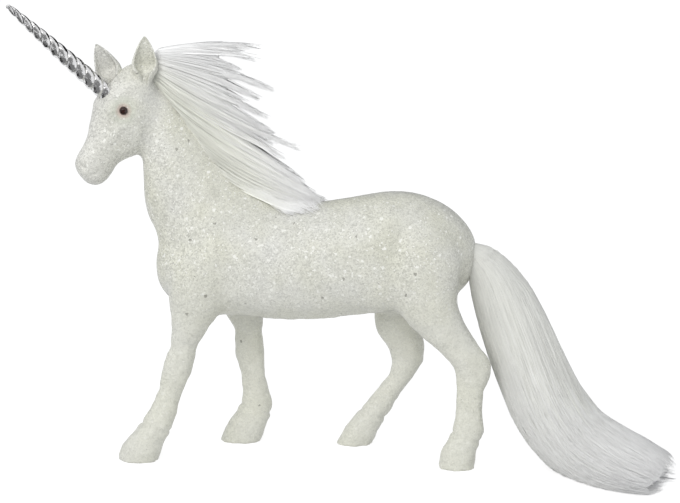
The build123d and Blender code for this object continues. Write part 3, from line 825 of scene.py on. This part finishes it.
def mane_paths(rng, count, side, layer_low, layer_high):
    """Strands between the guides, pulled into locks at their tips and laid over the coat. Above
    the shoulder each free lock has its own place and length. A layer that starts below 0 fills
    the middle of the mane."""
    place = rng.beta(1.0, 1.15, count) * last_guide
    low_tips = rng.uniform(8.6, last_guide, low_locks)
    tips, lengths = np.vstack([free_locks, columns_of(low_tips, 1)]).T
    nearest = np.abs(place[:, None] - tips).argmin(1)
    free_tip = 1 - smooth_step(place, 8.2, 9.5)
    reach = lengths[nearest] * rng.uniform(0.62, 1.0, count) ** (0.5 + 0.5 * free_tip)
    begin = 0.06 + 0.46 * rng.uniform(size=count) ** 1.2
    begin *= smooth_step(place, 6, 9)
    t = begin[:, None] + (reach - begin)[:, None] * np.linspace(0, 1, mane_steps)
    pull = (0.72 + 0.22 * free_tip)[:, None] * smooth_step(t, 0.38, 0.92)
    flat = mane_flow(place[:, None] * (1 - pull) + tips[nearest][:, None] * pull, t)
    loose = rng.normal(size=(count, 1, 2)) * np.array([0.9, 0.8]) * MM
    flat = flat + loose * t[..., None] ** 1.5
    wave = rng.uniform(0, 2 * np.pi, (count, 1))
    flat[..., 1] += 0.5 * MM * np.sin(4.5 * t + wave) * t
    layer = (rng.uniform(layer_low, layer_high, count) * crest(place))[:, None]
    if layer_low < 0:
        lift, sideways = -4 * MM, 0
    else:
        rising = t - begin[:, None]
        lift = 1.2 * smooth_step(rising, 0, 0.12) + 0.6 * smooth_step(rising, 0.1, 0.42) * layer
        lift, sideways = (lift - 1.2) * MM, side
    outward = np.broadcast_to([0.25, sideways, 0.35], (*t.shape, 3))
    return origin + mane_place(flat, t, side, layer, lift), outward, smooth_step(place, 1, 9)


side_maps = {side: side_map(side) for side in (-1, 1)}
print("height maps of both sides:", map_size)


def closed_sheet(count_down, count_along):
    """Faces of a flat bag: a sheet's two sides as one closed grid, zipped shut at both ends."""
    quads = grid_faces(count_along, 2 * count_down)
    one = np.arange(count_down - 1)
    other = 2 * count_down - 1 - one
    zip_low = columns_of(one, other, other - 1, one + 1)
    zip_high = (count_along - 1) * 2 * count_down + zip_low[:, ::-1]
    return np.vstack([quads, zip_low, zip_high])


def mane_body(down=70, along=44):
    """The hair as one thin bag under the strands, closed to almost nothing at root and tips."""
    columns = np.linspace(0, last_guide, down)
    place = np.concatenate([columns, columns[::-1]])
    rows = np.linspace(0, 1, along)[:, None]
    lower = smooth_step(place, 7.5, 11)
    t = rows * (0.66 + 0.22 * lower)
    ripple = 0.22 * np.sin(place * 9.0) + 0.13 * np.sin(place * 23.0)
    lift = (2.1 + lower) * smooth_step(t, 0.06, 0.34 + 0.26 * lower) - 1.6 - lower
    lift = (lift + ripple * smooth_step(t, 0.1, 0.4)) * MM
    flat = mane_flow(place + 0 * t, t)
    left, right = (mane_place(flat, t, side, 0.80 * crest(place), lift) for side in (-1, 1))
    points = np.concatenate([left[:, :down], right[:, down:]], 1)
    open_share = dome(1 - rows / bag_root, bag_least) * dome(1 - (1 - rows) / bag_tip, bag_least)
    points[..., 1] *= open_share
    piece = new_piece("mane_body", (origin + points).reshape(-1, 3), closed_sheet(down, along))
    store(piece, along=t, shade=mane_shade_with_painted_lift + 0 * t, lies=smooth_step(place, 1, 9) + 0 * t)
    return piece


mane_layers = [
    ("mane_near_side", 11, 2600, -1, 0.35, 1.05),
    ("mane_far_side", 12, 2000, 1, 0.35, 1.05),
    ("mane_middle", 13, 1100, -1, -0.8, 0.8),
]
hair_pieces = [mane_body()]
for name, seed, count, side, low, high in mane_layers:
    rng = np.random.default_rng(seed)
    paths, outward, lies = mane_paths(rng, count, side, low, high)
    radius = rng.uniform(*mane_radii, count) * MM
    shade = np.clip(rng.normal(mane_shade_with_painted_lift, mane_shade_spread, count), 0, 0.97)
    # painted highlights: a few strands get shade 1 and a wider radius, as bright streaks of light
    # in the mane
    bright = rng.uniform(size=count) > 1 - mane_painted_highlight_share
    shade[bright] = 1.0
    radius[bright] *= painted_highlight_wider
    hair_pieces.append(strands(name, paths, outward, radius, mane_taper, shade, lies))
    print(name, len(hair_pieces[-1].data.polygons), "faces")

# %% [markdown]
# The tail is one thick hank. It falls from the dock, bends where it meets the ground and fans out.
# Its skin follows the same rows as the solid. Strands run along it in two layers, with a smooth
# body under them, so no light comes through.

# %% Tail
tail_length = 110 * MM
tail_width = 36 * MM
tail_thickness = 19 * MM
dock = np.array([0.41 * body_length, 0, belly_height + 0.59 * body_depth])
tail_rows = [
    (-0.015, 0.00, 1.000, 0.12, 0.22), (0.060, 0.01, 0.930, 0.27, 0.37),
    (0.135, 0.02, 0.792, 0.41, 0.46), (0.203, 0.04, 0.630, 0.49, 0.50),
    (0.280, 0.07, 0.449, 0.525, 0.58), (0.370, 0.11, 0.272, 0.545, 0.76),
    (0.486, 0.16, 0.145, 0.510, 1.02), (0.632, 0.22, 0.080, 0.425, 1.36),
    (0.760, 0.26, 0.050, 0.320, 1.54), (0.860, 0.28, 0.034, 0.190, 1.56),
    (0.935, 0.295, 0.026, 0.090, 1.52),
]
ground_gap = 0.5 * MM
body_end, body_rounding = 0.91, 0.17
tail_lies = 0.6
tail_shade, tail_shade_spread = 0.22, 0.14
core_share = 0.93
tail_clumps = 60
tail_steps, tail_taper = 15, 0.3
tail_radii = (0.13, 0.24)


def tail_curve(steps):
    """Table along the tail: its middle, its up and across directions, and its half sizes."""
    back, left, up, tall, wide = smooth_rows(tail_rows, steps).T
    middle = columns_of(dock[0] + back * tail_length, -left * tail_length, up * dock[2])
    run = to_unit(np.gradient(middle, axis=0))
    across = to_unit(np.cross(run, [0, 0, 1.0]))
    sizes = columns_of(tall * tail_width, wide * tail_thickness)
    return np.hstack([middle, np.cross(across, run), across, sizes])


def tail_points(place, turn, depth):
    """Points on the tail at a place along it (0 to 1), round it and at a share of its depth."""
    curve = tail_curve(8)
    row = blend_rows(curve, np.clip(place, 0, 1) * (len(curve) - 1))
    turn, depth = turn[..., None], depth[..., None]
    middle, up, across = row[..., 0:3], row[..., 3:6], row[..., 6:9]
    tall, wide = row[..., 9:10], row[..., 10:11]
    spot = middle + depth * (up * tall * np.cos(turn) + across * wide * np.sin(turn))
    spot[..., 2] = np.maximum(spot[..., 2], ground_gap)
    return spot


def tail_body(along=120, columns=96):
    """Smooth body of the hank under its strands, rippled like hair and rounded at its end."""
    place, turn = np.meshgrid(np.linspace(0, body_end, along), round_angles(columns), indexing="ij")
    ripple = 0.02 * np.sin(9 * turn + 3 * place) + 0.014 * np.sin(23 * turn - 5 * place)
    rounded = dome((place - body_end) / body_rounding + 1, 0.001)
    piece = joined("tail_body", tail_points(place, turn, (core_share + ripple) * rounded))
    place = np.append(place, [0, body_end])
    store(piece, along=place, shade=tail_shade + 0 * place, lies=tail_lies + 0 * place)
    return piece


def tail_close(place):
    """Share of the depth left at a place: the hank thins out over its last tenth."""
    return 1 - 0.30 * smooth_step(place, 0.88, 0.99)


def tail_paths(rng, count, depth_low, depth_high, reach_low, reach_high, drift):
    """Strands along the tail's skin. They lean into clumps near the end and differ in length."""
    turn = rng.uniform(0, 2 * np.pi, count)
    clumps = round_angles(tail_clumps) + rng.uniform(-0.03, 0.03, tail_clumps)
    gaps = np.angle(np.exp(1j * (clumps - turn[:, None])))
    nearest = np.abs(gaps).argmin(1)
    gap = gaps[np.arange(count), nearest]
    begin = 0.5 * rng.uniform(size=count) ** 3
    wisp = rng.uniform(size=tail_clumps) ** 3
    reach = rng.uniform(reach_low, reach_high, count) - 0.06 * np.abs(np.sin(turn)) ** 4
    reach += 0.075 * wisp[nearest] * rng.uniform(size=count)
    steps = np.linspace(0, 1, tail_steps)[None]
    place = begin[:, None] + (reach - begin)[:, None] * steps
    swing = drift * rng.normal(size=(count, 1)) * steps**1.5
    turns = turn[:, None] + gap[:, None] * 0.75 * smooth_step(place, 0.55, 1.0) + swing
    depth = rng.uniform(depth_low, depth_high, count)[:, None]
    depth = (depth + 0.015 * np.sin(8 * steps + turn[:, None])) * tail_close(place)
    inner, outer = tail_points(place, turns, 0.6 * depth), tail_points(place, turns, depth)
    rise = smooth_step(place, 0.70, 0.93)[..., None] * np.array([0.2, -0.5, 0.8])
    return origin + outer, to_unit(to_unit(outer - inner) + rise)


tail_layers = [
    ("tail_strands_under", 21, 2200, 0.90, 0.99, 0.84, 0.935, 0.04),
    ("tail_strands_over", 22, 2200, 0.97, 1.02, 0.76, 0.930, 0.07),
]
hair_pieces.append(tail_body())
for name, seed, count, *spread in tail_layers:
    rng = np.random.default_rng(seed)
    paths, outward = tail_paths(rng, count, *spread)
    radius = rng.uniform(*tail_radii, count) * MM
    shade = np.clip(rng.normal(tail_shade, tail_shade_spread, count), 0, 1)
    lies = np.full(count, tail_lies)
    hair_pieces.append(strands(name, paths, outward, radius, tail_taper, shade, lies))
    print(name, len(hair_pieces[-1].data.polygons), "faces")

# %% [markdown]
# Finishes are made from noise and cell patterns in Object coordinates, which are metres here, so
# a pattern keeps its real size. A node group holds the glitter, and gives out only values, masks
# and a normal. The shader itself stays in each material.

# %% Small helpers for node trees
def node(tree, kind, sockets=None, **settings):
    """New shader node. A socket is linked to an output or given a value, a colour without alpha."""
    made = tree.nodes.new("ShaderNode" + kind)
    for title, value in settings.items():
        setattr(made, title, value)
    for title, value in (sockets or {}).items():
        socket = made.inputs[title]
        if isinstance(value, bpy.types.NodeSocket):
            tree.links.new(value, socket)
        else:
            socket.default_value = (*value, 1) if socket.type == "RGBA" else value
    return made


def maths(tree, operation, *values):
    """Output of one Math node."""
    return node(tree, "Math", dict(enumerate(values)), operation=operation).outputs[0]


def vectors(tree, operation, sockets, output=0):
    """Output of one Vector Math node."""
    return node(tree, "VectorMath", sockets, operation=operation).outputs[output]


def map_range(tree, value, low, high, to_low, to_high):
    """Value carried from one range to another, and held at its ends."""
    values = dict(enumerate((value, low, high, to_low, to_high)))
    return node(tree, "MapRange", values).outputs[0]


def mix(tree, share, first, second, way="MIX"):
    """Output of one colour Mix node."""
    sockets = {0: share, 6: first, 7: second}
    return node(tree, "Mix", sockets, data_type="RGBA", blend_type=way).outputs[2]


def tint(tree, colour, rows):
    """Colour after several others are laid over it. Each row is a share and a colour."""
    for share, over in rows:
        colour = mix(tree, share, colour, over)
    return colour


def brighten(tree, colour, level):
    """Colour times one number."""
    grey = node(tree, "CombineColor", {0: level, 1: level, 2: level}).outputs[0]
    return mix(tree, 1.0, colour, grey, "MULTIPLY")


def noise(tree, place, scale, detail):
    """Cloudy value about 0.5, with so many lumps in a metre."""
    return node(tree, "TexNoise", {"Vector": place, "Scale": scale, "Detail": detail}).outputs[0]


def bump(tree, height, distance, strength, **normal):
    """Normal that lets a height show."""
    sockets = {"Height": height, "Distance": distance, "Strength": strength, **normal}
    return node(tree, "Bump", sockets).outputs[0]


def empty_tree(owner):
    """The node tree of a material or world, with nothing in it."""
    owner.use_nodes = True
    owner.node_tree.nodes.clear()
    return owner.node_tree


def new_finish(name):
    """Material, its empty tree, and its Object coordinates."""
    finish = bpy.data.materials.new(name)
    tree = empty_tree(finish)
    return finish, tree, node(tree, "TexCoord").outputs["Object"]


def principled(tree, **sockets):
    """Principled shader and output. An underscore in a name stands for a space."""
    sockets = {title.replace("_", " "): value for title, value in sockets.items()}
    shader = node(tree, "BsdfPrincipled", sockets)
    node(tree, "OutputMaterial", {"Surface": shader.outputs[0]})


# %% [markdown]
# Glitter is thousands of tiny flat flakes, each tilted its own way. Voronoi cells stand for the
# flakes: one random colour per cell gives its lightness and its tilt. Rare cells, fine and coarse,
# are painted very bright as glints of light off the flakes, and rarer coarse ones are the dark
# specks that the photograph shows.

# %% Glitter group
glitter = bpy.data.node_groups.new("glitter flakes", "ShaderNodeTree")
for title in ("Flakes per metre", "Tilt", "Painted glint share", "Dark share"):
    glitter.interface.new_socket(title, in_out="INPUT", socket_type="NodeSocketFloat")
for title, kind in (("Lightness", "Float"), ("Bright", "Float"), ("Dark", "Float"),
                    ("Normal", "Vector")):
    glitter.interface.new_socket(title, in_out="OUTPUT", socket_type="NodeSocket" + kind)
per_metre, tilt, painted_glint_share, dark_share, _ = glitter.nodes.new("NodeGroupInput").outputs
group_out = glitter.nodes.new("NodeGroupOutput")


def cells(scale):
    """Random colour of each Voronoi cell, and the same as three values."""
    place = node(glitter, "TexCoord").outputs["Object"]
    colour = node(glitter, "TexVoronoi", {"Vector": place, "Scale": scale}).outputs["Color"]
    return colour, node(glitter, "SeparateColor", {0: colour}).outputs


coarse_scale, coarse_power = 0.55, 0.45
flake, flake_split = cells(per_metre)
_, speck_split = cells(maths(glitter, "MULTIPLY", per_metre, coarse_scale))
# painted glints: rare flakes, fine and coarse, are marked to be painted near white as if catching
# the light
rare = maths(glitter, "SUBTRACT", 1.0, painted_glint_share)
coarse_rare = maths(glitter, "POWER", rare, coarse_power)
bright = maths(glitter, "MAXIMUM", maths(glitter, "GREATER_THAN", flake_split[1], rare),
               maths(glitter, "GREATER_THAN", speck_split[0], coarse_rare))
dark = maths(glitter, "GREATER_THAN", speck_split[2], maths(glitter, "SUBTRACT", 1.0, dark_share))
lean = vectors(glitter, "SUBTRACT", {0: flake, 1: (0.5, 0.5, 0.5)})
lean = vectors(glitter, "SCALE", {0: lean, "Scale": tilt})
surface = node(glitter, "NewGeometry").outputs["Normal"]
tilted = vectors(glitter, "NORMALIZE", {0: vectors(glitter, "ADD", {0: surface, 1: lean})})
for socket, value in zip(group_out.inputs, (flake_split[0], bright, dark, tilted)):
    glitter.links.new(value, socket)
print("glitter group:", len(glitter.nodes), "nodes")

# %% [markdown]
# The coat is a cream white with a faint green under a clear pearl layer. It is cooler in patches
# and on the head, and paler on the legs. A painted shade darkens it where it turns away from the
# camera. The glitter is dense on the neck and barrel and thin on the legs. A pink and green tint
# lies round each eye.

# %% Glitter coat
coat_finish, tree, place = new_finish("pearl glitter coat")
flakes = node(tree, "Group", node_tree=glitter)
for title, value in (("Flakes per metre", 1500.0), ("Tilt", 0.55), ("Painted glint share", 0.032),
                     ("Dark share", 0.0016)):
    flakes.inputs[title].default_value = value
lightness, bright, dark, flake_normal = flakes.outputs
ahead, _, height = node(tree, "SeparateXYZ", {0: place}).outputs
dense = map_range(tree, height, 0.070, 0.100, 0.35, 1.0)
patches = noise(tree, place, scale=38.0, detail=4.0)
clouds = noise(tree, place, scale=160.0, detail=5.0)
base = tint(tree, (0.700, 0.700, 0.610), [
    (map_range(tree, patches, 0.35, 0.65, 0, 1), (0.730, 0.730, 0.690)),
    (map_range(tree, height, 0.04, 0.11, 0.6, 0.0), (0.825, 0.825, 0.735)),
    (map_range(tree, ahead, -0.125, -0.100, 0.75, 0.0), (0.740, 0.735, 0.705)),
])
mottle = maths(tree, "MULTIPLY", map_range(tree, lightness, 0, 1, -0.18, 0.18), dense)
mottle = maths(tree, "ADD", mottle, map_range(tree, clouds, 0.3, 0.7, -0.03, 0.03))
base = brighten(tree, base, maths(tree, "ADD", mottle, 1.0))
eyes = []
for bead in beads:
    low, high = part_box(bead)
    eyes.append(vectors(tree, "DISTANCE", {0: place, 1: (low + high) / 2}, "Value"))
eye_near = maths(tree, "MINIMUM", *eyes)
facing_for_painted_shade = node(tree, "LayerWeight", {"Blend": 0.5}).outputs["Facing"]
base = tint(tree, base, [
    (map_range(tree, eye_near, 0.0035, 0.0085, 0.30, 0.0), (0.60, 0.66, 0.50)),
    (map_range(tree, eye_near, 0.0022, 0.0045, 0.45, 0.0), (0.66, 0.38, 0.36)),
    # painted glints: the bright flakes get a near white colour
    (maths(tree, "MULTIPLY", bright, dense), (0.93, 0.93, 0.88)),
    (maths(tree, "MULTIPLY", dark, 0.55), (0.13, 0.12, 0.10)),
    # painted shade: the colour turns a darker grey towards the outline, where the coat faces away
    # from the camera
    (map_range(tree, facing_for_painted_shade, 0.76, 1.0, 0.0, 0.55), (0.42, 0.42, 0.40)),
])
normal = bump(tree, clouds, distance=0.0006, strength=0.5, Normal=flake_normal)
principled(tree, Base_Color=base, Normal=normal, IOR=1.45, Coat_Weight=0.18, Coat_Roughness=0.22,
           Roughness=map_range(tree, lightness, 0, 1, 0.62, 0.40))
print("coat finish:", len(tree.nodes), "nodes")

# %% [markdown]
# The horn is plated plastic. Plating is a mirror, so its look comes from what it reflects: a white
# room and five grey and dark cards, made with the lights. Fine waves in it keep it hand-made.

# %% Horn plating and eye glass
plating, tree, place = new_finish("bright plating")
dust = noise(tree, place, scale=1800.0, detail=4.0)
waves = noise(tree, place, scale=420.0, detail=3.0)
principled(tree, Base_Color=mix(tree, dust, (0.55, 0.55, 0.56), (0.90, 0.90, 0.905)),
           Metallic=1.0, Roughness=map_range(tree, dust, 0.3, 0.7, 0.06, 0.18),
           Normal=bump(tree, waves, distance=0.0007, strength=0.75))

garnet, tree, place = new_finish("garnet glass bead")
clouds = noise(tree, place, scale=900.0, detail=2.0)
tone = mix(tree, clouds, (0.008, 0.003, 0.003), (0.045, 0.014, 0.010))
principled(tree, Base_Color=tone, Roughness=0.16, Coat_Weight=0.25, Coat_Roughness=0.03, IOR=1.42)
print("horn and eye finishes made")

# %% [markdown]
# The hair is bright synthetic fibre. Each strand carries its own shade, and a few strands are
# painted very bright as highlights. Where hair lies against the coat it is warm at its root, and it
# turns cooler towards its tip.

# %% Hair fibre
hair_finish, tree, place = new_finish("silky fibre")
along, shade, lies = (node(tree, "Attribute", attribute_name=title).outputs["Fac"]
                      for title in ("along", "shade", "lies"))
warm = maths(tree, "MULTIPLY", lies, map_range(tree, along, 0.25, 0.95, 1, 0))
tone = mix(tree, warm, (0.955, 0.955, 0.96), (0.87, 0.875, 0.805))
light = map_range(tree, shade, 0.0, 1.0, 0.88, 1.06)
patches = noise(tree, place, scale=45.0, detail=2.0)
# painted highlights: strands of shade 1 are made brighter still
for more in (map_range(tree, patches, 0.3, 0.7, -0.03, 0.03),
             map_range(tree, shade, 0.985, 1.0, 0.0, 0.30)):
    light = maths(tree, "ADD", light, more)
principled(tree, Base_Color=brighten(tree, tone, light), Roughness=0.50, IOR=1.45,
           Sheen_Weight=0.35, Sheen_Roughness=0.4)
print("hair finish:", len(tree.nodes), "nodes")

# %% [markdown]
# The wires, pins, backing strip, peg and binding are nearly all hidden, but each keeps its own
# finish: drawn steel with fine lines, a plain weave, and wood grain along the peg. In each, one
# pattern gives both the colour and the bump.

# %% Hidden finishes
def fine_lines(tree, place):
    """Fine noise, as on drawn wire."""
    return noise(tree, place, scale=2500.0, detail=3.0)


def weave(tree, place):
    """Threads that cross in a plain weave."""
    return maths(tree, "MAXIMUM", *(
        node(tree, "TexWave", {"Vector": place, "Scale": 900.0}, bands_direction=way).outputs[1]
        for way in ("X", "Z")))


def grain(tree, place):
    """Bent bands of wood grain."""
    sockets = {"Vector": place, "Scale": 260.0, "Distortion": 3.0, "Detail": 3.0}
    return node(tree, "TexWave", sockets).outputs[1]


def hidden_finish(name, pattern, low, high, distance, strength, **sockets):
    """Material whose colour and bump follow one pattern."""
    finish, tree, place = new_finish(name)
    value = pattern(tree, place)
    principled(tree, Base_Color=mix(tree, value, low, high),
               Normal=bump(tree, value, distance, strength), **sockets)
    return finish


steel = hidden_finish("drawn steel", fine_lines, (0.35, 0.35, 0.36), (0.55, 0.55, 0.55),
                      0.0001, 0.4, Metallic=1.0, Roughness=0.35)
cloth = hidden_finish("backing cloth", weave, (0.52, 0.52, 0.48), (0.74, 0.74, 0.70),
                      0.0003, 0.6, Roughness=0.85, Sheen_Weight=0.2)
wood = hidden_finish("peg wood", grain, (0.42, 0.26, 0.13), (0.60, 0.42, 0.24),
                     0.0002, 0.4, Roughness=0.6)
print("hidden finishes made")

# %% [markdown]
# Every piece is now given its finish and the CAD pieces it stands for. The ornament has one body,
# so all of it rides on that. Pieces of the frame that stay in use, such as the wires, keep their
# shape and only get a better finish.

# %% Dressing the frame
def dress(piece, finish, slot, *nodes):
    """Finish, body and replaced nodes of one new piece. The slot is not used."""
    piece.data.materials.clear()
    piece.data.materials.append(finish)
    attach(piece, "root")
    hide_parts(*nodes)


leg_names = ["front_left_leg", "front_right_leg", "hind_left_leg", "hind_right_leg"]
dress(coat, coat_finish, "glitter_coat", "torso", "neck", "head", *leg_names)
for name, piece in ears.items():
    dress(piece, coat_finish, "glitter_coat", name)
for name, piece in beads.items():
    dress(piece, garnet, "eye_glass", name)
dress(horn, plating, "horn_metal", "horn")
for piece in hair_pieces:
    solid = "mane_hair" if piece.name.startswith("mane") else "tail_hair"
    dress(piece, hair_finish, "hair_fibre", solid)
kept = {"mane_weft": cloth, "tail_peg": wood, "tail_binding": cloth}
kept.update({name + "_wire": steel for name in ("spine", "neck", *leg_names)})
kept.update({name + "_eye_pin": steel for name in ("left", "right")})
for name, finish in kept.items():
    for slot in bpy.data.objects[name].material_slots:
        slot.material = finish
print("dressed:", len(hair_pieces) + 6, "new pieces and", len(kept), "kept ones")

# %% [markdown]
# The studio is white. The floor shows white to the camera but keeps a faint shadow: its colour
# for camera rays is part glow and part lit surface. The world is white to the camera and to
# mirrors, and a soft grey fill for everything else. One large lamp stands in front, high up.

# %% Floor and world
def white_to_camera(tree):
    """1 for rays from the camera, a mirror or through glass, else 0."""
    path = node(tree, "LightPath")
    seen = maths(tree, "MAXIMUM", path.outputs["Is Camera Ray"], path.outputs["Is Glossy Ray"])
    return maths(tree, "MAXIMUM", seen, path.outputs["Is Transmission Ray"])


def flat_card(name, centre, side, up):
    """Flat four-cornered piece that reaches side and up from its centre, both ways."""
    signs = ((-1, -1), (1, -1), (1, 1), (-1, 1))
    return new_piece(name, np.array([centre + a * side + b * up for a, b in signs]),
                     np.array([[0, 1, 2, 3]]))


floor_size = 3.0
floor = flat_card("floor", np.zeros(3), *(floor_size * np.eye(3)[:2]))
floor_finish = bpy.data.materials.new("pale floor")
tree = empty_tree(floor_finish)
plain = node(tree, "BsdfDiffuse", {"Color": (0.80, 0.80, 0.80)})
shadowed = node(tree, "BsdfDiffuse", {"Color": (0.40, 0.40, 0.40)})
glow = node(tree, "Emission", {"Color": (1, 1, 1), "Strength": 0.80})
seen = node(tree, "AddShader", {0: shadowed.outputs[0], 1: glow.outputs[0]})
mixed = node(tree, "MixShader", {0: white_to_camera(tree), 1: plain.outputs[0],
                                 2: seen.outputs[0]})
node(tree, "OutputMaterial", {"Surface": mixed.outputs[0]})
floor.data.materials.append(floor_finish)

world = bpy.data.worlds.new("white studio")
bpy.context.scene.world = world
tree = empty_tree(world)
fill = node(tree, "Background", {"Color": (0.96, 0.98, 1.0), "Strength": 0.60})
white = node(tree, "Background", {"Color": (1, 1, 1), "Strength": 1.0})
mixed = node(tree, "MixShader", {0: white_to_camera(tree), 1: fill.outputs[0],
                                 2: white.outputs[0]})
node(tree, "OutputWorld", {"Surface": mixed.outputs[0]})
print("floor and world made")

# %% [markdown]
# The cards are what makes plating look like plating: in a white room a mirror would be white
# too. Only mirrors see them. They stand behind, beside, before and below the horn.

# %% Lamp and cards
card_rows = [
    ("card_behind", (0.50, 0.80, 0.42), 0.60, 0.95, 0.60, 0.01),
    ("card_left", (-0.85, 0.35, -0.35), 0.60, 0.55, 0.30, 0.04),
    ("card_front", (0.05, -0.97, 0.10), 0.75, 2.00, 0.90, 0.27),
    ("card_below", (-0.10, -0.50, -0.82), 0.145, 0.36, 0.22, 0.24),
    ("card_wedge", (-0.48, -0.35, -0.78), 0.120, 0.075, 0.05, 0.01),
]
horn_middle = origin + from_head(horn_matrix @ np.array([0, 0, horn_length / 2]) + horn_seat)
for name, way, far, width, height, grey in card_rows:
    way = to_unit(np.array(way))
    side = to_unit(np.cross(-way, [0, 0, 1.0]))
    up = np.cross(side, -way)
    card = flat_card(name, horn_middle + far * way, side * width / 2, up * height / 2)
    paint = bpy.data.materials.new(name)
    tree = empty_tree(paint)
    tone = node(tree, "Emission", {"Color": (grey, grey, grey)})
    node(tree, "OutputMaterial", {"Surface": tone.outputs[0]})
    card.data.materials.append(paint)
    card.visible_camera = card.visible_diffuse = card.visible_shadow = False
    card.visible_transmission = card.visible_volume_scatter = False


def aim_at(thing, place, target):
    """Sets a lamp or camera at a place, looking at a target."""
    thing.location = place
    thing.rotation_euler = Vector(place - target).to_track_quat("Z", "Y").to_euler()
    bpy.context.scene.collection.objects.link(thing)


look_height = 105 * MM
middle = origin + np.array([0, 0, look_height])
key = bpy.data.objects.new("key_lamp", bpy.data.lights.new("key_lamp", "AREA"))
key.data.shape = "RECTANGLE"
key.data.size, key.data.size_y = 1.1, 0.7
key.data.energy = 9.0
key.data.color = (1.0, 0.985, 0.95)
aim_at(key, middle + np.array([-0.35, -1.15, 0.80]), middle)
print("lamp and", len(card_rows), "cards made")

# %% [markdown]
# The camera is where the photographer's was: about a metre away, a little to the animal's rear,
# and 12 degrees up. Its lens comes from the size of the animal in the picture.

# %% Camera
image_width = 680
pixels_per_radian = 2200
elevation, azimuth, distance = np.radians(12), np.radians(5), 1.1
away = turn_matrix("z", azimuth) @ turn_matrix("x", -elevation) @ np.array([0, -1, 0])
camera = bpy.data.objects.new("camera", bpy.data.cameras.new("camera"))
camera.data.sensor_width = 36
camera.data.lens = camera.data.sensor_width * pixels_per_radian / image_width
aim_at(camera, middle + distance * away, middle)
bpy.context.scene.camera = camera
bpy.context.scene.view_settings.view_transform = "Standard"
print("camera", np.round(camera.location, 3), "lens", round(camera.data.lens, 1), "mm")
